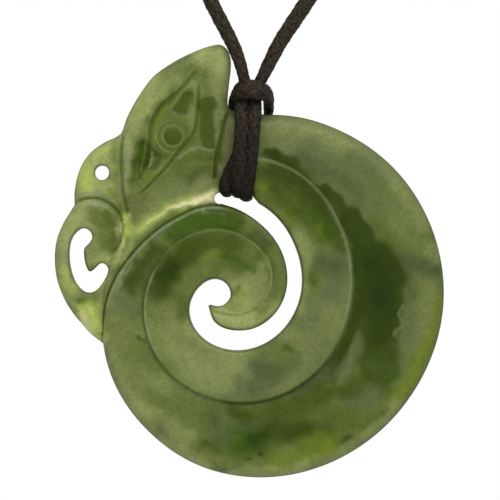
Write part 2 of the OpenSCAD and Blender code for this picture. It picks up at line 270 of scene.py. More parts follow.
def koru_at(turn):
    """The koru's row at any turns, in degrees."""
    place = np.asarray(turn, float) / TURN_STEP
    last = len(KORU_ROWS) - 1
    i = np.clip(np.floor(place), 0, last - 1).astype(int)
    t = np.clip(place - i, 0, 1)[..., None]
    return bend(*(KORU_ROWS[np.clip(i + k, 0, last)] for k in (-1, 0, 1, 2)), t)


def spiral(column, first, last, step=1.0):
    """Points of an edge of the koru from one turn to another."""
    turns = np.arange(first, last + step / 2, step)
    return from_polar(koru_at(turns)[:, column], turns)


def smooth(x):
    x = np.clip(x, 0, 1)
    return x * x * (3 - 2 * x)


def fade_in(x, first, width):
    """0 up to first, 1 from width past it on."""
    return smooth((x - first) / width)


def bump(x, half):
    """1 at 0, and down to nothing on both sides."""
    return np.exp(-(x / half) ** 2)


def round_over(x):
    """0 at an edge, 1 from the end of its quarter round on."""
    x = np.clip(x, 0, 1)
    return np.sqrt(np.maximum(0, 1 - (1 - x) ** 2))


def ease_over(x):
    """Like round_over, with an edge that is less steep."""
    x = np.clip(x, 0, 1)
    return 1 - (1 - x) ** 3


def line_distance(points, line):
    """Distance of each point from a line of points, the share of its length at the nearest place, and the side:
    over 0 on the left of its direction."""
    a, b = line[:-1], line[1:]
    d = b - a
    size = (d ** 2).sum(1)
    run = run_of(line)
    best, share, side = np.zeros((3, len(points)))
    for lo in range(0, len(points), BATCH):
        p = points[lo:lo + BATCH, None, :]
        t = np.clip(((p - a) * d).sum(2) / size, 0, 1)
        off = p - (a + t[..., None] * d)
        dist = np.sqrt((off ** 2).sum(2))
        k = dist.argmin(1)
        rows = np.arange(len(k))
        best[lo:lo + BATCH] = dist[rows, k]
        share[lo:lo + BATCH] = (run[k] + t[rows, k] * np.sqrt(size[k])) / run[-1]
        side[lo:lo + BATCH] = np.sign(d[k, 0] * off[rows, k, 1] - d[k, 1] * off[rows, k, 0])
    return best, share, side


def inside(points, outline):
    """Whether each point is inside a closed outline."""
    x, y = points[:, 0], points[:, 1]
    found = np.zeros(len(points), bool)
    for (x0, y0), (x1, y1) in zip(outline, np.roll(outline, -1, axis=0)):
        if y0 != y1:
            hit = (y0 > y) != (y1 > y)
            found ^= hit & (x < x0 + (y - y0) * (x1 - x0) / (y1 - y0))
    return found


def stone_loops():
    """The closed outlines of the stone, as rows of points."""
    side = [catmull(edge, SPAN_PARTS) for edge in (LOWER_LOBE_EDGE, UPPER_LOBE_EDGE, HEAD_EDGE, TOP_EDGE)]
    outer = np.vstack([spiral(OUTER, TOP_TURN, TAIL_TURN), *side])
    upper_wall = spiral(INNER, SLOT_UPPER_TURN, KORU_LAST)
    lower_wall = spiral(OUTER, SLOT_LOWER_TURN, KORU_LAST)[::-1]
    nose = (upper_wall[-1] + lower_wall[0]) / 2 + circle([-KORU_LAST], SLOT_NOSE)
    cap = SLOT_END_AT + circle(np.arange(-70, -271, -20.0), SLOT_END_R)
    slot = np.vstack([upper_wall, nose, lower_wall, cap, catmull(CORD_WAY, 5)])
    return {
        "outer": even(outer, EDGE_STEP, closed=True),
        "slot": even(slot, EDGE_STEP, closed=True),
        "hook": even(catmull(HOOK_HOLE, SPAN_PARTS, closed=True), EDGE_STEP * 0.8, closed=True),
        "hole": ROUND_HOLE_AT + circle(np.arange(0, 360, 9), ROUND_HOLE_R),
    }


def tree_of(points):
    tree = KDTree(len(points))
    for i, (x, y) in enumerate(points):
        tree.insert((x, y, 0), i)
    tree.balance()
    return tree


class Edge:
    """A closed outline that answers how far points are from it."""

    def __init__(self, loop):
        self.loop = loop
        self.tree = tree_of(loop)
        self.normal = left_of(np.roll(loop, -1, axis=0) - np.roll(loop, 1, axis=0))

    def distance(self, points):
        near = np.array([self.tree.find((x, y, 0))[1] for x, y in points])
        best = np.full(len(points), np.inf)
        n = len(self.loop)
        for shift in (-1, 0):
            a, b = self.loop[(near + shift) % n], self.loop[(near + shift + 1) % n]
            d = b - a
            t = np.clip(((points - a) * d).sum(1) / (d ** 2).sum(1), 0, 1)
            best = np.minimum(best, np.linalg.norm(points - a - t[:, None] * d, axis=1))
        return best


LOOPS = stone_loops()
EDGES = {name: Edge(loop) for name, loop in LOOPS.items()}
LINE_POINTS = {name: even(catmull(line, SPAN_PARTS), 0.15) for name, (line, *_) in LINES.items()}
GLOW_LINE = even(catmull(GLOW, SPAN_PARTS), 0.2)
LOBE_SIDE = np.vstack([LINE_POINTS["lobe round"], LOBE_REST])
ALMOND = np.vstack([LINE_POINTS["almond left"], LINE_POINTS["almond right"][::-1]])


def in_stone(points):
    """Whether each point is in the stone, and in none of its openings."""
    return inside(points, LOOPS["outer"]) & ~np.any([inside(points, LOOPS[name]) for name in OPENINGS], axis=0)


def distances(points):
    """How far the points are from each of the outlines."""
    return {name: edge.distance(points) for name, edge in EDGES.items()}


def nearest(d):
    return np.min(list(d.values()), axis=0)


def grooves(points):
    """For each carved line: its depth, how far the points are from it, its half width there, its fading toward its
    two ends, and the side on which they are."""
    for name, (_, depth, left, right) in LINES.items():
        away, share, side = line_distance(points, LINE_POINTS[name])
        yield depth, away, np.where(side > 0, left, right), smooth(np.minimum(share, 1 - share) / LINE_FADE), side


def koru_place(points):
    """For each point: whether it is on the koru band, at which turn, and whether it is where the band starts."""
    r, turn = polar(points)
    groove_v, groove_u = np.array(HEAD_DISC[::-1]).T[::-1]
    by_groove = (points[:, 0] > np.interp(points[:, 1], groove_v, groove_u)) & (points[:, 1] < GROOVE_TOP)
    start = (turn > START_TURNS[0]) & (r > START_R) & by_groove & (points[:, 1] > SECOND_R)
    first, second = koru_at(turn), koru_at(turn + 360)
    on_second = (turn + 360 <= KORU_LAST + 2) & (r <= second[:, OUTER] + 0.02)
    middle = (second[:, OUTER] + first[:, INNER]) / 2
    on_first = ~on_second & (r > np.where(turn + 360 <= KORU_LAST, middle, 0)) & (r <= first[:, OUTER] + 0.3)
    on_first &= (turn < START_TURNS[0] + 5) | (r < SECOND_R)
    on_first &= (turn > START_TURNS[1]) | (r < SECOND_R)
    on_first |= (turn <= START_TURNS[1]) & (r >= SECOND_R) & ~on_second & by_groove
    neck = (turn > TAIL_TURN) & (r > first[:, OUTER])
    place = np.where(start, 0, np.where(on_second, turn + 360, turn))
    return ((on_second | on_first) & ~neck) | start, place, start


def fall(depth, width, away):
    """How far a front lies lower near a line than it does from width on."""
    return depth * (1 - smooth(away / width))


def side_height(points, glow):
    """Height of the head, the lobes and the ground, before their outer edges are rounded. glow has the distances
    from the groove of thin stone."""
    u, v = points.T
    head = GROUND_H + (HEAD_H - GROUND_H) * smooth(glow / HEAD_RISE)
    lobe_round = line_distance(points, LINE_POINTS["lobe round"])[0]
    lower = inside(points, LOBE_SIDE)
    left_side = line_distance(points, LINE_POINTS["head left"])[2]
    upper = ~lower & (left_side < 0) & (v > UPPER_LOBE_FROM[1]) & (u < UPPER_LOBE_FROM[0])
    lobe = LOBE_H - fall(*LOBE_ROUND_FALL, lobe_round) * (v > LOBE_TAIL[0])
    lobe = lobe - fall(*LOBE_GLOW_FALL, glow) * (v < LOBE_TAIL[1])
    h = np.where(lower, lobe, np.where(upper, UPPER_LOBE_H - fall(*UPPER_LOBE_FALL, lobe_round), head))
    ring = np.linalg.norm(points - EYE_AT, axis=1)
    in_almond = inside(points, ALMOND)
    for radius, depth, half in EYE_RINGS:
        h = h - in_almond * depth * bump(ring - radius, half)
    h = h + PUPIL_H * in_almond * smooth(PUPIL_R - ring)
    for outline, depth, slope in SCOOPS:
        loop = catmull(outline, 5, closed=True)
        away = line_distance(points, np.vstack([loop, loop[:1]]))[0]
        h = h - depth * smooth(np.where(inside(points, loop), away, 0) / slope)
    return h


def front_height(points, d):
    """Height of the front over the middle plane. d has the distances from the four outlines."""
    u, v = points.T
    r, _ = polar(points)
    on_koru, turn, start = koru_place(points)
    inner, crease, outer, drop, lip, wall = koru_at(turn).T
    k = np.minimum(1, (outer - inner) / (lip + INNER_LIP + 1))
    top = FRONT_H - drop
    deep = fade_in(turn, *CREASE_RISE) * (1 - CREASE_LOST * fade_in(turn, *CREASE_LOSS))
    low = top - k * CREASE_STEP * deep
    crease = np.maximum(inner + k * (INNER_LIP + 0.15), np.minimum(crease, outer - k * (lip + 0.3)))
    across = smooth((r - crease) / (CREASE_W * k) + 0.5)
    inside_h = top - 0.1 * (1 - smooth((r - inner) / np.maximum(crease - inner, 0.1)))
    outside_h = low + 0.12 * k * np.sin(np.pi * np.clip((r - crease) / np.maximum(outer - crease, 0.1), 0, 1))
    koru = inside_h + (outside_h - inside_h) * across
    koru -= 0.1 * k * deep * bump(r - crease - 0.2 * k, 0.13 * k)
    glow = line_distance(points, GLOW_LINE)[0]
    side = side_height(points, glow)
    # the raised edge over the neck, and the disc's own fall to the groove of thin stone where it starts
    neck = on_koru & (turn > TAIL_TURN) & (turn < NECK_LAST)
    koru = np.where(neck, side + (koru - side) * round_over((outer - r) / (lip * k)), koru)
    near_start = start | (on_koru & (turn < 12) & (r > START_R))
    rise = np.maximum(smooth(glow / 2.2), smooth(u / 3))
    koru = np.where(near_start, GROUND_H + (koru - GROUND_H) * rise, koru)
    h = np.where(on_koru, koru, side)
    for depth, away, half, fade, _ in grooves(points):
        h = h - depth * fade * np.maximum(0, 1 - away / half) ** 1.3
    # roundings at the outer edge, the slot and the two small holes
    outer_wall = np.where(on_koru, wall, h - SIDE_DROP)
    outer_lip = np.where(on_koru, lip * k, SIDE_LIP)
    h = np.minimum(h, outer_wall + (h - outer_wall) * ease_over(d["outer"] / outer_lip))
    slot_wall = np.minimum(INNER_WALL * np.maximum(k, 0.6), h - 0.1)
    h = np.minimum(h, slot_wall + (h - slot_wall) * ease_over(d["slot"] / (INNER_LIP * np.maximum(k, 0.5))))
    for name, (width, depth) in HOLE_LIPS.items():
        h = np.minimum(h, h - depth * (1 - ease_over(d[name] / width)))
    # the slight unevenness of hand polishing
    return h + 0.02 * np.sin(u * 0.9 + 1.3 * np.sin(v * 0.5)) * np.sin(v * 0.8 + 0.7)


def back_height(d):
    return -BACK_WALL - (BACK_H - BACK_WALL) * round_over(nearest(d) / BACK_LIP)


def grid(step, low, high):
    """Points of the stone on a grid of even triangles between two corners."""
    rows = []
    for j, y in enumerate(np.arange(low[1], high[1], step * ROW_STEP)):
        xs = np.arange(low[0] + (j % 2) * step / 2, high[0], step)
        rows.append(np.stack([xs, np.full(len(xs), y)], axis=1))
    rows = np.vstack(rows)
    return rows[in_stone(rows)]


def gather(taken, rows, least):
    """taken and, row by row, the points that are at least so far from all before."""
    for row in rows:
        tree = tree_of(taken)
        keep = np.array([tree.find((x, y, 0))[2] >= least for x, y in row], bool)
        taken = np.vstack([taken, row[keep]])
    return taken


def offsets(shares):
    """Rows of points along the outlines, drawn in by shares of their rounding's width."""
    out = []
    for name, edge in EDGES.items():
        inward = edge.normal
        if not in_stone(edge.loop + 0.05 * inward).mean() > 0.5:
            inward = -inward
        on_koru, turn, _ = koru_place(edge.loop + 0.1 * inward)
        lip = np.full(len(inward), INNER_LIP)
        if name == "outer":
            lip = np.where(on_koru, koru_at(turn)[:, LIP], SIDE_LIP)
        for share in shares:
            depth = share * lip
            p = edge.loop + depth[:, None] * inward
            out.append(p[in_stone(p) & (nearest(distances(p)) > depth * 0.94)])
    return out


def feature_rows():
    """Rows of points along the carved lines, the crease, the eye's rings and the raised edge over the neck."""
    rows = []
    for name, (_, _, left, right) in LINES.items():
        line = LINE_POINTS[name]
        n = left_of(np.gradient(line, axis=0))
        rows += [line + w * n for w in (0, left * 0.5, left, -right * 0.5, -right)]
    for w in (-0.3, -0.14, 0, 0.14, 0.28):
        turns = np.concatenate([np.arange(t, t + TURN_STEP, CREASE_ARC / koru_at(t + TURN_STEP / 2)[CREASE])
                                for t in range(0, CREASE_LAST, TURN_STEP)])
        rows.append(from_polar(koru_at(turns)[:, CREASE] + w, turns))
    for radius, _, half in EYE_RINGS:
        rows += [EYE_AT + circle(np.arange(0, 360, 5), radius + w) for w in (-half, 0, half)]
    edge = spiral(OUTER, TAIL_TURN + 2, SLOT_LOWER_TURN, 0.8)
    rows += [edge * (1 - w / np.linalg.norm(edge, axis=1))[:, None] for w in (-0.06, 0.05, 0.15, 0.3, 0.55, 0.8)]
    rows = [row[in_stone(row)] for row in rows]
    return [row[nearest(distances(row)) > 0.1] for row in rows]


def triangles(points, loops_at):
    """Delaunay triangles of the points inside the stone. loops_at has (first, count) of each outline."""
    far = np.array([(-60, -60), (60, -60), (60, 60), (-60, 60)], float)
    every = np.vstack([points, far])
    edges = [(s + i, s + (i + 1) % n) for s, n in loops_at for i in range(n)]
    co, made, faces, origin, from_edges, _ = delaunay_2d_cdt([Vector(p) for p in every], edges, [], 0, 1e-9)
    if len(co) != len(every):
        raise SystemExit(f"the outline meets itself: {len(co)} points from {len(every)}")
    index = [o[0] for o in origin]
    fixed = {tuple(sorted(made[i])) for i, o in enumerate(from_edges) if o}
    sides = [[tuple(sorted((face[i], face[(i + 1) % 3]))) for i in range(3)] for face in faces]
    beside = {}
    for f, keys in enumerate(sides):
        for key in keys:
            beside.setdefault(key, []).append(f)
    # from a face outside the stone on, each step over an outline changes between outside and inside
    state = [None] * len(faces)
    first = next(f for f, face in enumerate(faces) if any(index[v] >= len(points) for v in face))
    state[first], stack = False, [first]
    while stack:
        f = stack.pop()
        for key in sides[f]:
            for g in beside[key]:
                if state[g] is None:
                    state[g] = state[f] != (key in fixed)
                    stack.append(g)
    return np.array([[index[v] for v in face] for f, face in enumerate(faces) if state[f]])


def front_points(rim):
    taken = gather(rim, offsets(FRONT_SHARES), EDGE_LEAST)
    taken = gather(taken, feature_rows(), LINE_LEAST)
    # a finer grid by the head and along the raised edge
    fine = grid(FINE_STEP, *HEAD_BOX)
    r, turn = polar(fine)
    by_edge = ((turn > TAIL_TURN) | (turn < 4)) & (r > koru_at(turn)[:, OUTER] * (turn < 355) - 0.8) & (r > 11)
    taken = gather(taken, [fine[by_edge | (fine[:, 1] > 24)]], FINE_STEP * GRID_LEAST)
    return gather(taken, [grid(FRONT_STEP, *STONE_BOX)], FRONT_STEP * GRID_LEAST)


def back_points(rim):
    taken = gather(rim, offsets(BACK_SHARES), BACK_LEAST)
    return gather(taken, [grid(BACK_STEP, *STONE_BOX)], BACK_STEP * BACK_GRID_LEAST)


def stone_mesh():
    """Vertices in mm as u, v, height, with the faces and the colours of the vertices."""
    rim = np.vstack(list(LOOPS.values()))
    counts = [len(loop) for loop in LOOPS.values()]
    at = list(zip(np.cumsum([0] + counts[:-1]).tolist(), counts))
    front, back = front_points(rim), back_points(rim)
    front_faces, back_faces = triangles(front, at), triangles(back, at)
    n, m = len(front), len(rim)
    d_front, d_back = distances(front), distances(back)
    front_h, back_h = front_height(front, d_front), back_height(d_back)
    back_h[:m] = -BACK_WALL
    middle = (front_h[:m] - BACK_WALL) / 2
    points = np.vstack([
        np.column_stack([front, front_h]), np.column_stack([back, back_h]), np.column_stack([rim, middle]),
    ])
    faces = [tuple(f) for f in front_faces] + [tuple(n + f[::-1]) for f in back_faces]
    mid = n + len(back)
    inner = {(f[i], f[(i + 1) % 3]) for f in front_faces for i in range(3)}
    for start, count in at:
        for i in range(count):
            a, b = start + i, start + (i + 1) % count
            if (a, b) not in inner:
                a, b = b, a
            faces += [(b, a, mid + a, mid + b), (mid + b, mid + a, n + a, n + b)]
    tones = stone_colours(front, d_front, True)
    tones = np.vstack([tones, stone_colours(back, d_back, False), tones[:m]])
    return points, faces, tones


def placed(points):
    """Stone points u, v, height in mm as frame points in metres."""
    return np.stack([points[:, 0] + EYE[0], EYE[1] - points[:, 2], points[:, 1] + EYE[2]], axis=1) * MM


def mesh_object(name, points, faces, look, flat=False):
    mesh = bpy.data.meshes.new(name)
    mesh.from_pydata([tuple(p) for p in points], [], [tuple(int(v) for v in f) for f in faces])
    mesh.validate()
    mesh.polygons.foreach_set("use_smooth", [not flat] * len(mesh.polygons))
    mesh.materials.append(look)
    obj = bpy.data.objects.new(name, mesh)
    bpy.context.scene.collection.objects.link(obj)
    return obj


# ---- Colours of the stone ----
TONES = {
    "deep": (42, 59, 18), "dark": (56, 71, 26), "shade": (70, 85, 33), "moss": (86, 100, 44),
    "mid": (102, 115, 60), "sage": (117, 126, 76), "light": (131, 141, 87), "pale": (150, 160, 100),
    "lime": (168, 182, 96), "cream": (222, 216, 166), "grey": (96, 107, 70), "ash": (82, 94, 58),
    "vivid": (64, 90, 28), "clay": (116, 114, 82), "yellow": (113, 128, 42),
    "mist": (140, 150, 118), "haze": (114, 124, 86),
}
# Cloudy places and veins of the stone, and among them painted light: the glow of light through thin stone, painted
# highlights and painted reflections. Columns: tone, half width, how soft (0 crisp, 1 soft), strength, then x and y of
# each point. Widths and points are in units of UNIT mm, x to the right and y down, with the koru's eye at UNIT_EYE.
UNIT, UNIT_EYE = 0.13, (216, 296)
CLOUDS = [
    # painted reflection: the first row, a pale veil over the disc's upper right
    ("haze", 26, 0.9, 0.4, 270, 140, 330, 160, 380, 210, 412, 262),
    ("haze", 16, 0.9, 0.5, 336, 296, 322, 344, 270, 378, 200, 376),
    # outer part of the koru, clockwise from the cord
    # painted reflection of the light above, along the top of the koru
    ("sage", 17, 0.6, 0.9, 235, 122, 270, 124, 300, 132, 330, 146),
    ("grey", 14, 0.8, 0.6, 305, 152, 340, 172, 365, 198, 385, 232),
    ("grey", 8, 0.9, 0.7, 364, 158, 390, 176),
    # painted highlight along the koru's top edge
    ("light", 10, 0.9, 0.85, 264, 124, 290, 121, 314, 124, 338, 137, 356, 141),
    ("mid", 16, 0.9, 0.45, 342, 168, 374, 196, 400, 232),
    ("light", 9, 0.9, 0.7, 362, 149, 388, 170, 410, 198, 424, 226),
    ("grey", 9, 0.9, 0.7, 354, 160, 378, 178),
    ("ash", 8, 0.9, 0.7, 300, 160, 318, 174, 338, 177, 356, 194),
    ("mid", 9, 0.9, 0.6, 402, 226, 414, 234, 428, 246),
    ("sage", 12, 0.9, 0.7, 392, 225, 402, 250),
    ("moss", 12, 0.9, 0.85, 378, 232, 398, 248, 408, 262),
    ("ash", 10, 0.8, 0.95, 400, 264, 434, 268),
    ("light", 6, 0.9, 0.7, 430, 248, 436, 256),
    ("sage", 9, 0.9, 0.6, 420, 283, 432, 300),
    ("mid", 9, 0.9, 0.7, 418, 286, 425, 308, 419, 342),
    ("sage", 14, 0.9, 0.6, 424, 300, 420, 330),
    ("grey", 10, 0.9, 0.7, 405, 310, 404, 345),
    ("light", 9, 0.9, 0.8, 106, 336, 112, 362, 122, 392, 142, 422, 168, 446, 192, 462),
    ("ash", 8, 0.9, 0.8, 404, 278, 412, 296),
    ("dark", 5.5, 0.3, 0.85, 269, 153, 277, 154),
    ("dark", 5, 0.4, 0.9, 276, 153, 292, 163, 303, 176),
    ("dark", 1.6, 0.6, 0.8, 302, 177, 320, 187),
    ("dark", 5.5, 0.3, 0.9, 325, 190, 335, 200, 345, 214),
    ("dark", 12, 0.3, 0.95, 351, 216, 359, 236, 366, 256),
    ("dark", 22, 0.2, 0.95, 374, 264, 383, 282, 382, 300),
    ("dark", 22, 0.25, 0.9, 376, 300, 377, 326),
    ("dark", 20, 0.2, 0.7, 379, 338, 378, 366),
    ("deep", 12, 0.9, 0.65, 371, 264, 380, 280, 380, 300),
    ("deep", 8, 0.9, 0.25, 380, 310, 382, 340),
    ("sage", 1.6, 0.7, 0.6, 402, 302, 397, 314, 399, 326, 395, 336),
    ("shade", 15, 0.6, 0.8, 340, 352, 352, 340),
    ("vivid", 8, 0.9, 0.4, 378, 356, 386, 378),
    ("shade", 12, 0.6, 0.8, 320, 384, 337, 368, 352, 350),
    ("grey", 6, 0.8, 0.75, 356, 334, 352, 352, 346, 370),
    ("sage", 2.5, 0.8, 0.6, 344, 372, 348, 377),
    ("sage", 2, 0.6, 0.6, 347, 370, 338, 376, 337, 382, 320, 394),
    ("moss", 11, 0.7, 0.7, 330, 395, 352, 385),
    ("grey", 5, 0.7, 0.8, 368, 386, 378, 394),
    ("shade", 7, 0.9, 0.6, 380, 384, 392, 394),
    ("moss", 8, 0.9, 0.7, 366, 422, 378, 414),
    ("grey", 9, 0.7, 0.7, 350, 402, 368, 400),
    ("yellow", 6, 0.7, 0.7, 396, 398, 409, 380, 424, 352, 436, 322, 439, 300),
    ("light", 5, 0.8, 0.8, 398, 404, 384, 419, 365, 438),
    ("moss", 12, 0.8, 0.8, 330, 418, 350, 418),
    ("moss", 10, 0.9, 0.9, 306, 444, 338, 444),
    ("ash", 8, 0.9, 0.9, 298, 392, 319, 374, 337, 357),
    ("shade", 7, 0.9, 0.7, 328, 391, 344, 392),
    ("dark", 8, 0.9, 0.5, 370, 352, 392, 356),
    ("moss", 6, 0.9, 0.5, 333, 358, 342, 350),
    ("grey", 7, 0.9, 0.6, 351, 338, 345, 356, 340, 373),
    ("sage", 0.7, 0.6, 0.6, 357, 326, 353, 337, 350, 348),
    ("sage", 1.1, 0.8, 0.6, 350, 350, 347, 362, 341, 371),
    ("sage", 0.6, 0.6, 0.6, 338, 375, 341, 380, 337, 384),
    ("grey", 0.8, 0.8, 0.6, 329, 383, 318, 392, 308, 399),
    ("vivid", 4, 0.8, 0.7, 344, 438, 350, 436),
    ("shade", 10, 0.9, 0.8, 298, 428, 322, 430),
    ("shade", 9, 0.9, 0.7, 352, 388, 366, 380),
    ("dark", 10, 0.9, 0.7, 238, 446, 262, 446),
    ("shade", 4, 0.8, 0.8, 345, 436, 350, 436),
    ("yellow", 8, 0.8, 0.5, 303, 438, 330, 442),
    ("yellow", 10, 0.8, 0.6, 275, 460, 305, 460, 330, 452),
    ("sage", 5, 0.9, 0.6, 346, 451, 362, 441),
    ("pale", 6, 0.9, 0.6, 235, 472, 270, 474, 300, 469),
    ("shade", 13, 0.8, 0.8, 250, 420, 285, 408, 315, 398),
    ("vivid", 13, 0.7, 0.8, 238, 436, 255, 440),
    ("dark", 10, 0.7, 0.8, 275, 430, 290, 432, 302, 428),
    ("deep", 7, 0.9, 0.6, 252, 440, 264, 434),
    ("deep", 1.6, 0.6, 0.8, 249, 459, 252, 460),
    ("deep", 1.6, 0.6, 0.8, 259, 455, 261, 455),
    ("dark", 6, 0.8, 0.7, 232, 410, 246, 414),
    ("ash", 6, 0.9, 0.5, 242, 424, 253, 427),
    ("ash", 8, 0.9, 0.7, 256, 390, 273, 392),
    ("shade", 8, 0.9, 0.8, 188, 445, 214, 446),
    ("ash", 11, 0.8, 0.7, 212, 418, 222, 432),
    ("vivid", 4, 0.9, 0.7, 200, 443, 207, 442),
    ("light", 9, 0.9, 0.7, 118, 384, 127, 398, 140, 408, 155, 418, 166, 424),
    ("pale", 6, 0.9, 0.4, 133, 405, 144, 413),
    ("ash", 6, 0.9, 0.7, 160, 426, 168, 430),
    ("light", 8, 0.9, 0.8, 174, 426, 190, 438),
    ("yellow", 6, 0.9, 0.5, 198, 455, 206, 458),
    ("sage", 8, 0.9, 0.5, 180, 438, 196, 450, 215, 460),
    ("light", 9, 0.9, 0.6, 143, 376, 166, 384),
    ("moss", 6, 0.9, 0.5, 123, 356, 130, 368),
    ("sage", 12, 0.9, 0.7, 112, 322, 128, 332),
    ("sage", 10, 0.9, 0.6, 122, 342, 126, 362, 142, 392),
    ("pale", 6, 0.9, 0.7, 160, 442, 180, 454, 204, 467),
    ("light", 5, 0.9, 0.7, 172, 444, 184, 448),
    ("light", 6, 0.9, 0.7, 310, 469, 332, 458, 350, 446),
    ("pale", 4, 0.9, 0.5, 296, 465, 307, 462),
    # its left side by the neck
    ("dark", 9, 0.7, 0.75, 131, 288, 136, 274, 143, 261, 154, 248),
    # painted highlights on the lip of the raised edge over the neck
    ("mist", 3.6, 0.9, 0.5, 113, 304, 117, 288, 123, 275),
    ("mist", 1.2, 0.9, 0.3, 124, 272, 136, 255),
    ("sage", 4, 0.9, 0.7, 138, 254, 147, 246),
    ("sage", 8, 0.9, 0.85, 117, 296, 124, 308),
    ("grey", 9, 0.8, 0.6, 122, 300, 130, 312),
    ("vivid", 9, 0.6, 0.85, 172, 232, 190, 223, 214, 220, 236, 224),
    ("grey", 5, 0.9, 0.8, 156, 234, 166, 226),
    ("ash", 5, 0.8, 0.7, 256, 232, 268, 244),
    ("shade", 7, 0.9, 0.6, 254, 240, 264, 250),
    ("grey", 6, 0.9, 0.7, 260, 226, 270, 232),
    # painted highlight on the lip of the raised edge
    ("mist", 1.2, 0.9, 0.4, 196, 213, 206, 212, 222, 214),
    # painted highlight beside the cord
    ("clay", 5, 0.9, 0.5, 262, 119, 270, 122),
    # inner part of the koru
    ("dark", 14, 0.7, 0.85, 160, 285, 170, 266, 186, 254),
    ("deep", 8, 0.9, 0.7, 165, 274, 176, 266),
    ("shade", 12, 0.8, 0.85, 186, 248, 208, 242, 232, 242),
    ("yellow", 5, 0.8, 0.7, 206, 260, 216, 254),
    ("mid", 7, 0.9, 0.7, 190, 274, 210, 264),
    ("vivid", 6, 0.8, 0.8, 226, 256, 238, 262),
    ("moss", 9, 0.8, 0.8, 222, 270, 244, 267, 256, 262),
    ("pale", 6, 0.9, 0.7, 222, 285, 236, 282),
    ("sage", 6, 0.9, 0.7, 226, 276, 240, 278),
    ("light", 11, 0.9, 0.85, 254, 278, 256, 294, 244, 310),
    ("pale", 9, 0.9, 0.9, 220, 312, 240, 321, 260, 316, 270, 306),
    ("pale", 6, 0.9, 0.6, 246, 290, 246, 302),
    ("vivid", 4, 0.8, 0.7, 246, 264, 254, 270),
    ("yellow", 5, 0.9, 0.6, 236, 300, 244, 296),
    ("mid", 6, 0.9, 0.8, 260, 311, 266, 305, 270, 296),
    ("moss", 3, 0.8, 0.6, 265, 284, 268, 288),
    ("shade", 2, 0.7, 0.6, 238, 288, 241, 287),
    ("dark", 1.4, 0.6, 0.8, 138, 336, 142, 340, 148, 343),
    ("ash", 5, 0.9, 0.7, 346, 281, 346, 291),
    ("moss", 4, 0.8, 0.6, 270, 290, 273, 276, 270, 262),
    ("light", 5, 0.9, 0.5, 264, 264, 266, 288),
    # painted highlight along the crease on the inner arm
    ("pale", 4.5, 0.8, 0.8, 218, 318, 232, 323, 246, 322),
    ("pale", 5, 0.9, 0.6, 223, 304, 240, 300),
    ("sage", 9, 0.8, 0.8, 160, 312, 166, 330, 180, 342),
    ("moss", 5, 0.9, 0.6, 181, 298, 182, 314),
    ("light", 6, 0.9, 0.55, 171, 314, 177, 325),
    ("light", 13, 0.8, 0.85, 178, 352, 200, 366, 226, 364, 238, 358),
    ("light", 6, 0.9, 0.9, 190, 328, 203, 343, 222, 351),
    ("grey", 7, 0.8, 0.6, 232, 390, 262, 386),
    ("light", 9, 0.9, 0.7, 188, 374, 206, 386, 222, 384),
    ("light", 9, 0.9, 0.6, 150, 328, 164, 342),
    ("ash", 11, 0.9, 0.9, 258, 368, 272, 372),
    ("moss", 8, 0.9, 0.5, 280, 366, 292, 360),
    ("sage", 8, 0.9, 0.7, 286, 334, 300, 326),
    ("grey", 4, 0.9, 0.4, 283, 260, 284, 270),
    ("haze", 5, 0.9, 0.6, 280, 336, 288, 338),
    ("light", 7, 0.9, 0.6, 296, 330, 306, 318),
    ("vivid", 3, 0.9, 0.7, 283, 346, 289, 349),
    ("vivid", 2, 0.9, 0.6, 296, 352, 300, 350),
    ("sage", 10, 0.9, 0.6, 306, 345, 325, 320),
    ("grey", 10, 0.8, 0.7, 302, 320, 320, 308, 335, 290, 338, 262),
    ("shade", 5, 0.9, 0.6, 307, 268, 313, 282),
    ("light", 7, 0.9, 0.85, 298, 236, 306, 254),
    ("ash", 9, 0.9, 0.8, 322, 264, 336, 270),
    ("sage", 10, 0.9, 0.7, 326, 312, 340, 308, 334, 330),
    ("grey", 8, 0.9, 0.7, 345, 290, 346, 314),
    ("light", 5, 0.9, 0.7, 303, 262, 303, 290, 298, 310),
    ("yellow", 6, 0.8, 0.6, 288, 206, 294, 220),
    ("shade", 9, 0.9, 0.85, 298, 208, 308, 216, 319, 228, 330, 238),
    ("vivid", 7, 0.8, 0.7, 316, 214, 328, 232),
    ("shade", 7, 0.9, 0.8, 268, 190, 284, 204),
    ("mid", 5, 0.9, 0.5, 279, 207, 286, 217),
    ("shade", 6, 0.9, 0.7, 297, 171, 307, 181),
    ("shade", 5, 0.8, 0.7, 212, 211, 240, 212),
    ("yellow", 3, 0.9, 0.3, 318, 228, 325, 238),
    ("shade", 11, 0.7, 0.85, 270, 176, 296, 190, 314, 206),
    ("dark", 9, 0.7, 0.8, 276, 168, 300, 180, 322, 200, 336, 226),
    ("shade", 6, 0.8, 0.8, 334, 226, 342, 250),
    ("moss", 6, 0.8, 0.7, 256, 178, 258, 196, 270, 202),
    ("yellow", 3, 0.9, 0.6, 258, 184, 262, 190),
    # head; its first rows are a painted reflection along its upper left
    ("pale", 9, 0.9, 0.8, 134, 128, 144, 110, 156, 92),
    ("light", 8, 0.9, 0.8, 158, 88, 172, 80),
    ("sage", 5, 0.9, 0.8, 164, 74, 176, 68, 194, 62),
    ("pale", 11, 0.9, 0.85, 206, 58, 220, 60, 222, 76),
    ("light", 8, 0.9, 0.8, 219, 100, 218, 80),
    ("pale", 4, 0.9, 0.7, 226, 56, 227, 66),
    ("light", 5, 0.9, 0.7, 226, 88, 226, 106),
    ("sage", 3, 0.7, 0.8, 222, 96, 220, 116, 217, 136),
    ("shade", 7.9, 0.25, 0.85, 208, 106, 207.2, 122, 206.8, 141),
    ("moss", 6, 0.7, 0.8, 172, 98, 160, 110, 154, 122),
    ("yellow", 3, 0.9, 0.6, 168, 106, 158, 122, 154, 140),
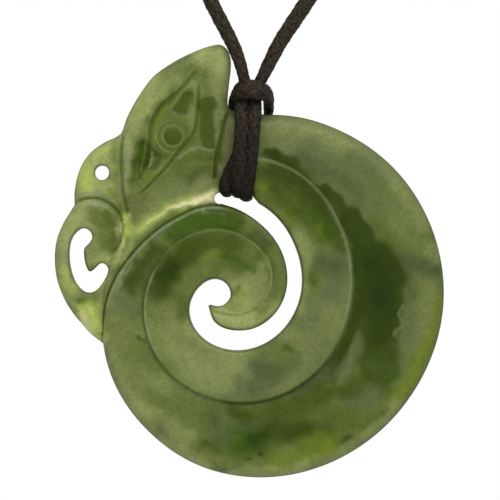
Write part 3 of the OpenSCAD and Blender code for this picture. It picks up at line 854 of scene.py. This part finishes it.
    ("dark", 7, 0.4, 0.9, 145, 148, 142, 157, 139, 167, 138, 175),
    ("vivid", 4, 0.8, 0.6, 140, 150, 138, 160, 138, 168),
    ("moss", 6, 0.9, 0.8, 136, 172, 135, 182),
    ("sage", 6, 0.9, 0.6, 139, 190, 139, 214),
    ("deep", 2, 0.8, 0.7, 147, 154, 145, 168),
    # painted highlights on the head's left bevel
    ("light", 4.5, 0.7, 0.8, 128, 130, 127, 150, 126, 168, 127, 190),
    ("mist", 2, 0.9, 0.5, 129, 138, 128, 160, 127, 182),
    ("shade", 5, 0.35, 0.75, 189, 97, 185, 106, 180, 110),
    # painted highlights on the ridges beside the almond
    ("light", 3, 0.8, 0.7, 193, 108, 191, 118, 190, 124),
    ("light", 1, 0.8, 0.5, 193, 77, 186, 88, 178, 98, 171, 109),
    ("grey", 3, 0.8, 0.7, 194, 80, 193, 88),
    ("shade", 4, 0.4, 0.8, 154.5, 152, 158, 158, 156, 164, 152, 168),
    ("light", 0.9, 0.8, 0.6, 151, 150, 149.5, 160, 148, 170),
    ("sage", 1.2, 0.8, 0.7, 164, 166, 158, 172),
    ("grey", 2.5, 0.9, 0.7, 152, 174, 154, 176),
    ("yellow", 2.5, 0.9, 0.6, 148, 182, 160, 172),
    ("moss", 5, 0.8, 0.75, 183, 161, 196, 158, 212, 156),
    # painted highlight on the cheek
    ("sage", 3, 0.9, 0.8, 184, 156, 192, 152),
    ("mist", 1.0, 0.9, 0.45, 180, 159, 190, 153, 199, 149, 211, 149),
    ("dark", 3.5, 0.9, 0.6, 214, 147, 213, 158),
    ("moss", 4, 0.9, 0.6, 177, 168, 183, 172),
    ("light", 9, 0.9, 0.75, 160, 196, 178, 188, 204, 186),
    ("moss", 5, 0.9, 0.7, 190, 180, 198, 172, 210, 168),
    ("light", 6, 0.9, 0.7, 150, 206, 166, 200),
    ("pale", 6, 0.9, 0.85, 196, 194, 210, 188),
    ("shade", 6, 0.9, 0.6, 158, 148, 172, 152, 186, 146),
    ("pale", 5, 0.9, 0.8, 130, 120, 131, 112, 140, 97, 146, 88, 156, 76),
    ("light", 6, 0.9, 0.6, 190, 84, 197, 88),
    ("clay", 4, 0.8, 0.7, 231, 116, 228, 136, 226, 152, 222, 170),
    ("shade", 2.5, 0.8, 0.7, 226, 118, 223, 132, 219, 148, 217, 160, 216.5, 176),
    # painted glow: light shining through the thin stone between the head and the koru, with a cream highlight by the
    # slot's end
    ("light", 8, 0.9, 0.7, 214, 191, 190, 194, 168, 201, 150, 214, 138, 228),
    ("lime", 5, 0.9, 0.8, 216, 197, 190, 200, 168, 207, 150, 219, 136, 232),
    ("cream", 4.5, 0.8, 0.95, 217, 197.5, 206, 198.5, 197, 200),
    ("cream", 1.9, 0.9, 0.8, 196, 200.5, 180, 203.5),
    ("cream", 1.6, 0.9, 0.75, 182, 203, 168, 208),
    ("lime", 2.2, 0.9, 0.8, 168, 208, 158, 214, 148, 220, 138, 229),
    ("cream", 0.9, 0.9, 0.45, 168, 208, 158, 214, 146, 222),
    ("lime", 4, 0.9, 0.9, 125, 216, 127, 232, 123, 246, 115, 260),
    ("pale", 5, 0.9, 0.8, 134, 236, 122, 256),
    ("lime", 3, 0.9, 0.8, 131, 230, 128, 238),
    ("cream", 1, 0.9, 0.7, 124, 222, 124, 236, 120, 248),
    ("mid", 2.2, 0.9, 0.6, 130, 240, 122, 252, 114, 268),
    ("light", 6, 0.9, 0.95, 110, 268, 104, 290, 99, 312),
    ("pale", 3, 0.9, 0.7, 119, 230, 119, 243),
    ("sage", 4, 0.9, 0.8, 131, 197, 132, 208),
    ("pale", 5, 0.9, 0.85, 118, 250, 108, 264),
    # lobes
    ("pale", 16, 0.8, 0.9, 92, 160, 88, 186, 104, 188),
    ("lime", 8, 0.9, 0.85, 86, 160, 83, 174, 86, 196),
    ("pale", 10, 0.9, 0.95, 98, 156, 114, 148, 120, 140),
    ("lime", 4, 0.9, 0.5, 100, 152, 114, 144),
    ("sage", 5, 0.7, 0.85, 116, 142, 117, 165, 117, 192),
    ("pale", 5, 0.9, 0.85, 104, 160, 111, 167),
    ("yellow", 3, 0.9, 0.7, 109, 191, 112, 193),
    ("grey", 2, 0.9, 0.6, 109, 168, 109, 178),
    # painted highlight along the groove round the lower lobe
    ("mist", 3.2, 0.7, 0.6, 80, 197, 92, 195, 103, 197),
    ("light", 8, 0.8, 0.8, 70, 224, 62, 244, 62, 262),
    ("mid", 7, 0.9, 0.8, 96, 216, 106, 222, 106, 240),
    # painted highlight along the groove round the lower lobe
    ("mist", 3, 0.8, 0.6, 84, 206, 98, 205),
    ("pale", 10, 0.9, 0.95, 80, 212, 71, 228, 67, 242),
    ("pale", 6, 0.9, 0.8, 60, 262, 65, 280, 74, 294),
    ("light", 8, 0.9, 0.9, 88, 232, 92, 252, 94, 262),
    ("pale", 5, 0.9, 0.7, 103, 256, 103, 272),
    ("pale", 6, 0.9, 0.7, 76, 224, 86, 226),
    ("moss", 4, 0.8, 0.7, 108, 212, 113, 224, 112, 246),
    ("sage", 7, 0.9, 0.7, 70, 276, 78, 292),
    ("light", 6, 0.9, 0.8, 63, 290, 72, 305),
    ("pale", 3, 0.9, 0.5, 65, 299, 70, 303),
    ("lime", 6, 0.9, 0.6, 62, 272, 72, 290),
    ("vivid", 3.5, 0.8, 0.85, 80, 301, 92, 302),
    ("lime", 8, 0.9, 0.95, 90, 308, 95, 322, 98, 336),
    ("lime", 5, 0.9, 0.8, 78, 308, 86, 320, 94, 334),
    ("cream", 4, 0.9, 0.5, 81, 316, 92, 332),
]
# Lines along the koru: a dark band and a lighter band by the crease, then painted highlights and painted shade on the
# crease's step and on the raised outer edge. Columns: the edge of the band that the line follows, first and last
# turn, where the line lies from that edge outward, half width, tone, strength.
TURN_FADE = 12  # degrees over which each end fades
TURN_LINES = [
    # a dark band just outside the crease, and a lighter band inside it
    (CREASE, 62, 128, 0.95, 0.75, "dark", 0.95),
    (CREASE, 78, 160, -0.75, 0.65, "sage", 0.6),
    # painted highlights on the crease's step where it faces the light
    (CREASE, 8, 62, 0.0, 0.2, "sage", 0.4),
    (CREASE, 46, 108, -0.15, 0.18, "mist", 0.33),
    # painted shade on the crease's step where it faces down
    (CREASE, 120, 180, 0.15, 0.17, "dark", 0.65),
    (CREASE, 180, 245, 0.15, 0.17, "shade", 0.2),
    (CREASE, 160, 182, 0.3, 0.3, "shade", 0.8),
    (CREASE, 235, 330, 0.02, 0.1, "dark", 0.6),
    # painted highlights along the crease, on to the inner arm's tip
    (CREASE, 215, 300, -0.2, 0.14, "mist", 0.4),
    (CREASE, 300, 385, 0.03, 0.09, "light", 0.3),
    (CREASE, 385, 425, 0.03, 0.09, "light", 0.45),
    (CREASE, 415, 470, 0.05, 0.11, "pale", 0.65),
    (CREASE, 470, 545, 0.05, 0.16, "pale", 0.6),
    (CREASE, 468, 530, -0.28, 0.18, "lime", 0.4),
    # painted shadow at the foot of the raised edge over the neck, painted highlights on its lip and along the slot's
    # lower edge
    (OUTER, 247, 372, -0.05, 0.2, "dark", 0.85),
    (OUTER, 262, 372, -0.5, 0.1, "mist", 0.55),
    (OUTER, 368, 445, -0.42, 0.06, "light", 0.5),
]
BACK_CLOUD = 6  # the least half width of a cloud that shows on the back too
# cream and mist are painted light: the glow through thin stone and thin painted highlights
FRONT_TONES = ("cream", "mist")  # tones that never show there
WANDERS = ((2.4, 0.22), (0.8, 0.07))  # size and reach of the waves that move the clouds' edges, in mm
GAIN = 0.507  # takes the tones to what comes out right under these lights
CONTRAST = 1.07  # of the tones round the middle one
FRESH_GREEN = (0.9, 1.0, 0.8, 1)  # of the veins
SHEEN = 0.009  # light that the polish adds everywhere, which the stone's own colour leaves out
BLACK = 0.001  # the least value of a channel


def linear(tone):
    c = np.array(tone, float) / 255
    return np.where(c > 0.04045, ((c + 0.055) / 1.055) ** 2.4, c / 12.92)


def wander(points, size, far):
    """Points moved about a little, so that no cloud has a drawn edge."""
    u, v = points.T / size
    du = np.sin(2.1 * v + 1.7 * np.sin(1.3 * u + 0.5)) + 0.6 * np.sin(4.7 * v + 3.1 * u)
    dv = np.sin(1.9 * u + 1.5 * np.sin(1.6 * v + 2.0)) + 0.6 * np.sin(4.3 * u - 3.7 * v + 1.0)
    return points + far * np.stack([du, dv], axis=1)


def toward(colours, tone, share):
    return colours + (linear(TONES[tone]) - colours) * share[:, None]


def facing(angle, lit):
    """1 where an angle in degrees is the lit one, down to 0 at a right angle to it."""
    return np.clip(np.cos(np.radians(angle - lit)), 0, 1)


def line_colours(points, colours, on_koru, turn):
    """Colours with the koru's lines, most of them painted light and shade, and with painted shade in the carved lines
    of the head and the lobes and a painted highlight along one lip of each.
    """
    r, _ = polar(points)
    rows = koru_at(turn)
    for column, first, last, at, half, tone, strength in TURN_LINES:
        off = np.abs(r - rows[:, column] - at)
        fade = fade_in(turn, first, TURN_FADE) * smooth((last - turn) / TURN_FADE)
        colours = toward(colours, tone, strength * fade * on_koru * smooth((1.5 * half - off) / half))
    for _, away, half, fade, side in grooves(points):
        # painted shade in each carved line, and a painted highlight along one of its lips
        colours = toward(colours, "shade", 0.55 * fade * smooth((0.9 * np.minimum(half, 0.5) - away) / 0.3))
        colours = toward(colours, "light", 0.3 * fade * bump(away - half - 0.08, 0.12) * (side < 0))
    return colours


def eye_colours(points, colours):
    """Colours with the pupil of the head's eye and the rings round it: darker in the almond round the eye and at the
    pupil, with painted highlights on the rings.
    """
    ring = np.linalg.norm(points - EYE_AT, axis=1)
    around = np.degrees(np.arctan2(points[:, 1] - EYE_AT[1], points[:, 0] - EYE_AT[0])) % 360
    for tone, share in (
        ("moss", 0.6 * inside(points, ALMOND) * smooth((2.1 - ring) / 0.2)),
        ("shade", 0.75 * smooth((1.2 - ring) / 0.15)),
        # painted highlights on the rings, strongest where the light catches them
        ("sage", 0.8 * (0.45 + 0.55 * facing(around, 125)) * bump(ring - 1.42, 0.16)),
        ("light", 0.5 * bump(ring - 1.28, 0.07)),
        ("light", 0.85 * facing(around, 215) * bump(ring - 2.12, 0.09)),
    ):
        colours = toward(colours, tone, share)
    return colours


def stone_colours(points, d, front):
    """Linear colours of stone points, from u and v in mm. d has the distances from the four outlines."""
    on_koru, turn, _ = koru_place(points)
    middle = linear(TONES["mid"])
    colours = np.tile(middle, (len(points), 1))
    moved = points
    for size, far in WANDERS:
        moved = wander(moved, size, far)
    for tone, half, soft, strength, *line in CLOUDS:
        if not front and (half < BACK_CLOUD or tone in FRONT_TONES):
            continue
        line = (np.reshape(line, (-1, 2)) - UNIT_EYE) * (UNIT, -UNIT)
        half *= UNIT
        near = np.abs(points - line.mean(axis=0)).max(axis=1) < np.ptp(line, axis=0).max() + 2.5 * half + 1
        away = line_distance(moved[near], line)[0]
        colours[near] = toward(colours[near], tone, strength * smooth((half * (1 + soft) - away) / (2 * soft * half)))
    if front:
        colours = eye_colours(points, line_colours(points, colours, on_koru, turn))
    colours = middle * (np.maximum(colours, BLACK) / middle) ** CONTRAST
    # painted shade: darker toward the koru's outer edge, most where that edge looks up toward the light, and in a
    # thin dark line along every edge
    colours = colours * (1 - 0.1 * on_koru * smooth((0.75 - d["outer"]) / 0.6))[:, None]
    colours = colours * (1 - 0.2 * facing(turn, 25) * on_koru * smooth(1.7 - d["outer"]))[:, None]
    return toward(colours, "deep", np.where(on_koru, 0.5, 0.3) * smooth((0.25 - nearest(d)) / 0.2))


def new_look(name):
    """A new node material, with its node tree and shader."""
    look = bpy.data.materials.new(name)
    look.use_nodes = True
    return look, look.node_tree, look.node_tree.nodes["Principled BSDF"]


def plug(node, values):
    """Sets a node's inputs, or links them where the value is another node's output."""
    for key, value in values.items():
        if isinstance(value, bpy.types.NodeSocket):
            node.id_data.links.new(value, node.inputs[key])
        else:
            node.inputs[key].default_value = value


def add_node(tree, kind, output, values, **settings):
    """Adds a node and gives back one of its outputs."""
    node = tree.nodes.new(kind)
    for key, value in settings.items():
        setattr(node, key, value)
    plug(node, values)
    return node.outputs[output]


def add_spread(tree, value, low, high, to_low, to_high):
    """A value's range low to high, spread onto another."""
    return add_node(tree, "ShaderNodeMapRange", "Result", {
        "Value": value, "From Min": low, "From Max": high, "To Min": to_low, "To Max": to_high,
    })


def add_scaled(tree, colour, factor):
    return add_node(tree, "ShaderNodeVectorMath", "Vector", {0: colour, "Scale": factor}, operation="SCALE")


def stone_material():
    look, tree, shader = new_look("greenstone")
    place = add_node(tree, "ShaderNodeTexCoord", "Object", {})
    tone = add_node(tree, "ShaderNodeAttribute", "Color", {}, attribute_name="tone")

    def noise(scale, detail, distortion, *spread):
        """Noise in the stone, its range spread onto another."""
        return add_spread(tree, add_node(tree, "ShaderNodeTexNoise", "Fac", {
            "Vector": place, "Scale": scale, "Detail": detail, "Distortion": distortion,
        }), *spread)

    clouds = noise(300, 5, 0.6, 0.3, 0.7, 0.94, 1.06)
    wisps = noise(1000, 5, 1.2, 0.3, 0.7, 0.88, 1.12)
    specks = noise(3400, 3, 0.0, 0.35, 0.65, 0.91, 1.09)
    value = add_node(tree, "ShaderNodeMath", "Value", {0: clouds, 1: wisps}, operation="MULTIPLY")
    value = add_node(tree, "ShaderNodeMath", "Value", {0: value, 1: specks}, operation="MULTIPLY")
    veins = add_node(tree, "ShaderNodeMix", "Result", {
        "Factor": noise(420, 4, 0.8, 0.5, 0.72, 0.0, 0.7), "A": add_scaled(tree, tone, value), "B": FRESH_GREEN,
    }, data_type="RGBA", blend_type="MULTIPLY")
    plug(shader, {
        "Base Color": veins, "Roughness": noise(600, 3, 0.0, 0.35, 0.65, 0.34, 0.46),
        "Subsurface Weight": 0.25, "Subsurface Radius": (0.8, 1.0, 0.4), "Subsurface Scale": 0.0008,
        "IOR": 1.5, "Specular IOR Level": 0.07,
    })
    return look


points, faces, tones = stone_mesh()
greenstone = stone_material()
stone = mesh_object("greenstone_koru", placed(points), faces, greenstone)
shades = stone.data.attributes.new("tone", "FLOAT_COLOR", "POINT")
tones = np.maximum((tones - SHEEN) * GAIN, BLACK)
shades.data.foreach_set("color", np.column_stack([tones, np.ones(len(tones))]).ravel())
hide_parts("pendant_stone")
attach(stone, "root")

# ---- The cord ----
CORD_R = 0.8
CORD_PARTS = 10  # points for each span of its route
# Route of the hitch, from the eye in mm: x, y, z and two half widths
LEFT_STRAND = [
    (-0.82, -1.5, 38.5, 0.9, 0.92), (1.83, -1.9, 33.3, 0.88, 0.88), (2.83, -2.1, 31, 0.82, 0.82),
    (3.43, -2.2, 29, 0.74, 0.74), (3.75, -2.5, 27, 0.62, 0.78), (3.35, -3.8, 24.2, 0.74, 0.88),
    (3.35, -4.5, 21.5, 0.66, 0.94), (3.12, -4.5, 18.5, 0.66, 0.96), (2.97, -4.4, 16, 0.68, 0.98),
    (2.75, -3.0, 13.95, 0.7, 1.0), (2.72, 0, 13.5, 0.7, 0.98), (2.7, 2.6, 14, 0.7, 0.8),
]
INNER_TURN = [
    (2.9, 3.2, 16, 0.75, 0.75), (3.8, 3.1, 20.5, 0.7, 0.7), (4.3, 2.7, 23.1, 0.6, 0.6), (4.3, 1, 24.5, 0.6, 0.6),
    (4.3, -1, 24.5, 0.6, 0.6), (4.2, -2.9, 22.6, 0.6, 0.6), (3.4, -3.1, 19.6, 0.68, 0.65),
    (2.2, -3.1, 17, 0.8, 0.65), (1.5, -3.1, 15.3, 0.84, 0.68), (1.3, -2.7, 14, 0.94, 0.7),
    (1.4, 0, 13.55, 0.8, 0.7), (1.3, 2.4, 14, 0.78, 0.7),
]
BIGHT = [
    (1.2, 3.2, 16, 0.75, 0.75), (1.7, 3.1, 20.5, 0.7, 0.7), (2.05, 3.2, 23.4, 0.6, 0.65),
    (2.2, 1.5, 25.2, 0.62, 0.65), (2.45, -1.2, 25.8, 0.62, 0.8), (2.8, -3.3, 26.4, 0.6, 1.1),
    (3.5, -4.45, 26.65, 0.58, 1.28), (4.55, -4.7, 26.7, 0.58, 1.35), (5.55, -4.45, 26.5, 0.58, 1.3),
    (6.5, -3.3, 26.2, 0.64, 1.22), (6.78, -1.2, 25.8, 0.68, 0.9), (6.82, 1, 24.9, 0.7, 0.7),
    (6.7, 2.8, 23.2, 0.6, 0.65), (5.6, 3.1, 19.8, 0.7, 0.7), (4.5, 3.2, 15.6, 0.75, 0.75),
]
RIGHT_STRAND = [
    (3.8, 2.6, 13.6, 0.8, 0.7), (3.8, 0, 13, 0.94, 0.7), (3.87, -2.9, 13.5, 0.98, 0.7),
    (4.2, -4.1, 15.6, 0.94, 0.68), (4.55, -4.4, 18.5, 0.94, 0.66), (4.8, -4.45, 21.5, 0.94, 0.66),
    (5, -3.8, 24.2, 0.92, 0.68), (5.25, -2.5, 26.6, 0.7, 0.58), (6.2, -2.3, 28.7, 0.8, 0.75),
    (7.22, -2.1, 30.8, 0.9, 0.82), (8.57, -1.9, 33.3, 0.95, 0.88), (12.0, -1.5, 38.5, 0.99, 0.92),
]
# On to the nape, in the frame: x on the left and on the right, then y and z
NECK = [
    (-10.2, 14.4, -154.6, -184), (-19, 24.6, -150.5, -166), (-29, 35, -143.5, -145), (-38.8, 44.2, -133.5, -124.5),
    (-47.5, 51.5, -121, -103.5), (-54.4, 56.6, -107.5, -84), (-58.6, 59.4, -92.5, -66), (-60, 60, -76.5, -51.5),
    (-58.6, 58.6, -59.5, -39), (-54, 54, -42.5, -28), (-46, 46, -26.5, -17.5), (-34.8, 34.8, -13.8, -9.2),
    (-21, 21, -5.2, -3.6), (-9.2, 9.2, -1, -0.7), (-4.25, 4.25, 0, 0),
]
# The left end's way through the knot, from its tip on, with its half widths; the right end's mirrors it
CORD_LEAD = np.array([(-0.1, 0, 0, 0.7, 0.7), (-2.1, 0, 0, 0.7, 0.7)])
WAX_COLOURS = ((0.35, (0.005, 0.0036, 0.002, 1)), (0.72, (0.027, 0.0185, 0.0095, 1)))
# The plait: mm of cord for a turn, then as shares of the half width the circle of the strands' middles and how far
# they go over and under it
PLAIT_PITCH = 8.8
PLAIT_R, PLAIT_WAVE = 0.8, 0.06
# A strand's section, two yarns side by side: across and up
STRAND_FORM = np.array([
    (0, 0.1), (-0.22, 0.19), (-0.42, 0.1), (-0.5, -0.03), (-0.25, -0.16), (0.25, -0.16), (0.5, -0.03), (0.42, 0.1),
    (0.22, 0.19),
])
CORE_R, CORE_SIDES = 0.86, 8
STRANDS = 8
# Steps for each crossing of the strands, on the plain stretches and where the cord bends
PLAIN_PARTS, FINE_PARTS = 1, 4


def unit(v):
    return v / np.linalg.norm(v)


def carried(points, start):
    """Normals carried along a line of points without twist."""
    out, n = [], np.array(start, float)
    for t in np.gradient(points, axis=0):
        t = unit(t)
        n = unit(n - (n @ t) * t)
        out.append(n)
    return np.array(out)


def square_to(rows, ahead):
    """Rows of length 1, turned to a right angle with the directions."""
    return unit_rows(rows - (rows * ahead).sum(1)[:, None] * ahead)


def plait_marks(run, fine):
    """The places along a run where the plait has a section."""
    crossing = PLAIT_PITCH / STRANDS
    marks, at = [], 0.0
    while at < run[-1]:
        marks.append(at)
        if np.interp(at, run, fine.astype(float)) > 0.5:
            at += crossing / FINE_PARTS
        else:
            at = round((at + crossing / PLAIN_PARTS) / crossing) * crossing
    return np.array(marks + [run[-1]])


def plait(name, route, wide, across, fine, look):
    """A core and eight strands that pass over and under each other along a route. route has the points in mm, wide
    the two half widths, across the normals, fine whether each step is a fine one."""
    run = run_of(route)
    marks = plait_marks(run, fine)
    c, n, w = (between(marks, run, rows) for rows in (route, across, wide))
    t = unit_rows(np.gradient(c, axis=0))
    n = square_to(n, t)
    b = np.cross(t, n)
    points, faces = [], []

    def skin(rings):
        """The skin of a row of rings, closed at both ends."""
        count = len(rings[0])
        first = sum(len(p) for p in points)
        last = first + (len(rings) - 1) * count
        for start in range(first, last, count):
            for j in range(count):
                p, q = start + j, start + (j + 1) % count
                faces.append((p, q, q + count, p + count))
        faces.append(tuple(range(first + count - 1, first - 1, -1)))
        faces.append(tuple(range(last, last + count)))
        points.append(np.vstack(rings))

    def radial(angle, wide_n, wide_b):
        return np.cos(angle)[:, None] * n * wide_n + np.sin(angle)[:, None] * b * wide_b

    sides = np.arange(CORE_SIDES) * 2 * math.pi / CORE_SIDES
    skin([c[i] + CORE_R * (np.cos(sides)[:, None] * n[i] * w[i, 0] + np.sin(sides)[:, None] * b[i] * w[i, 1])
          for i in range(len(marks))])
    phase = 2 * math.pi * marks / PLAIT_PITCH
    size = np.sqrt(w[:, 0] * w[:, 1])
    for way in (1, -1):
        reach = PLAIT_R + way * PLAIT_WAVE * np.cos(STRANDS / 2 * phase)
        for k in range(STRANDS // 2):
            angle = way * phase + k * 4 * math.pi / STRANDS
            middle = c + reach[:, None] * radial(angle, w[:, :1], w[:, 1:])
            ahead = unit_rows(np.gradient(middle, axis=0))
            up = square_to(radial(angle, 1 / w[:, :1], 1 / w[:, 1:]), ahead)
            side = np.cross(up, ahead)
            skin([middle[i] + size[i] * (STRAND_FORM[:, :1] * side[i] + STRAND_FORM[:, 1:] * up[i])
                  for i in range(len(marks))])
    return mesh_object(name, np.vstack(points) * MM, faces, look)


def cord_rows():
    """Rows of the whole cord, with where the hitch begins and ends in them."""
    hitch = [(x + EYE[0], y + EYE[1], z + EYE[2], *half) for x, y, z, *half
             in LEFT_STRAND + INNER_TURN + BIGHT + RIGHT_STRAND]
    left = [(x, y, z, CORD_R, CORD_R) for x, _, y, z in reversed(NECK)]
    right = [(x, y, z, CORD_R, CORD_R) for _, x, y, z in NECK]
    return np.array(left + hitch + right), len(left), len(left) + len(hitch)


def cord_material():
    look, tree, shader = new_look("waxed_cord")
    place = add_node(tree, "ShaderNodeTexCoord", "Object", {})
    speck = add_node(tree, "ShaderNodeTexNoise", "Fac", {"Vector": place, "Scale": 2600, "Detail": 4})
    wax = add_node(tree, "ShaderNodeValToRGB", "Color", {"Fac": speck})
    for element, (position, colour) in zip(wax.node.color_ramp.elements, WAX_COLOURS):
        element.position, element.color = position, colour
    # painted shade: the cord is darker low down, in the hitch, where it lies in shade
    height = add_node(tree, "ShaderNodeSeparateXYZ", "Z", {"Vector": place})
    hitch_shade = add_spread(tree, height, -0.218, -0.204, 0.45, 1.0)
    plug(shader, {"Base Color": add_scaled(tree, wax, hitch_shade), "Roughness": 0.6, "Specular IOR Level": 0.09})
    return look


waxed = cord_material()
rows, hitch_first, hitch_last = cord_rows()
path = catmull(rows, CORD_PARTS)
share = np.arange(len(path)) / CORD_PARTS
normals = between(share, np.arange(len(rows)), carried(rows[:, :3], (0, 0, 1)))
in_hitch = (share > hitch_first - 1.2) & (share < hitch_last + 0.2)
# both ends go on into the knot
route = np.vstack([CORD_LEAD, path, CORD_LEAD[::-1] * (-1, 1, 1, 1, 1)])
extra = len(CORD_LEAD)
normals = np.pad(normals, ((extra, extra), (0, 0)), mode="edge")
neck_cord = plait("plaited_cord", route[:, :3], route[:, 3:], normals, np.pad(in_hitch, extra), waxed)
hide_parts("neck_cord")
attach(neck_cord, "root")

# The knot at the nape: a coil of the cord round its two ends
KNOT_TURNS, KNOT_R, KNOT_CORD_R, KNOT_HALF = 4.5, 1.5, 0.74, 3.2
KNOT_POINTS = 140
turns = np.linspace(0, KNOT_TURNS * 2 * math.pi, KNOT_POINTS)
outward = np.stack([np.zeros(KNOT_POINTS), np.cos(turns), np.sin(turns)], axis=1)
coil = KNOT_R * outward
coil[:, 0] = -KNOT_HALF + 2 * KNOT_HALF * turns / turns[-1]
coil_wide = np.full((KNOT_POINTS, 2), KNOT_CORD_R)
knot = plait("nape_knot", coil, coil_wide, outward, np.zeros(KNOT_POINTS, bool), waxed)
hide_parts("back_knot")
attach(knot, "root")

for name, look in (("pendant_stone", greenstone), ("neck_cord", waxed), ("back_knot", waxed)):
    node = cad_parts[name]
    node.data.materials.clear()
    node.data.materials.append(look)

# ---- Floor, light and camera, in metres in the frame ----
FLOOR_R, FLOOR_Y, FLOOR_Z = 0.45, -0.08, -0.33
KEY_AT, KEY_SIZE, KEY_WATTS = (0.12, -0.6, 0.28), 0.6, 7
LENS, SENSOR = 240, 36
FRAME_MM = 65.0  # width of the picture at the stone
PICTURE_MIDDLE = 250  # in the same units from the top as UNIT_EYE

floor_look, _, floor_shader = new_look("floor")
plug(floor_shader, {"Base Color": (0.8, 0.8, 0.8, 1), "Roughness": 0.8})
floor_rim = [(x, FLOOR_Y + y, FLOOR_Z) for x, y in circle(np.arange(0, 360, 6), FLOOR_R)]
floor = mesh_object("floor", floor_rim, [range(len(floor_rim))], floor_look, flat=True)

key = bpy.data.objects.new("key", bpy.data.lights.new("key", "AREA"))
key.data.shape = "DISK"
key.data.size = KEY_SIZE
key.data.energy = KEY_WATTS
key.location = KEY_AT
key.rotation_euler = (Vector(EYE) * MM - key.location).to_track_quat("-Z", "Y").to_euler()
bpy.context.scene.collection.objects.link(key)

world = bpy.data.worlds.new("studio")
bpy.context.scene.world = world
world.use_nodes = True
plug(world.node_tree.nodes["Background"], {"Color": (1, 1, 1, 1), "Strength": 1.0})

bpy.context.scene.view_settings.view_transform = "Standard"

camera = bpy.data.objects.new("camera", bpy.data.cameras.new("camera"))
camera.data.lens = LENS
camera.data.sensor_width = SENSOR
camera_z = EYE[2] + (UNIT_EYE[1] - PICTURE_MIDDLE) * UNIT
camera.location = (0, (EYE[1] - FRAME_MM * LENS / SENSOR) * MM, camera_z * MM)
camera.rotation_euler = (math.radians(90), 0, 0)
camera.data.clip_end = 20
bpy.context.scene.collection.objects.link(camera)
bpy.context.scene.camera = camera
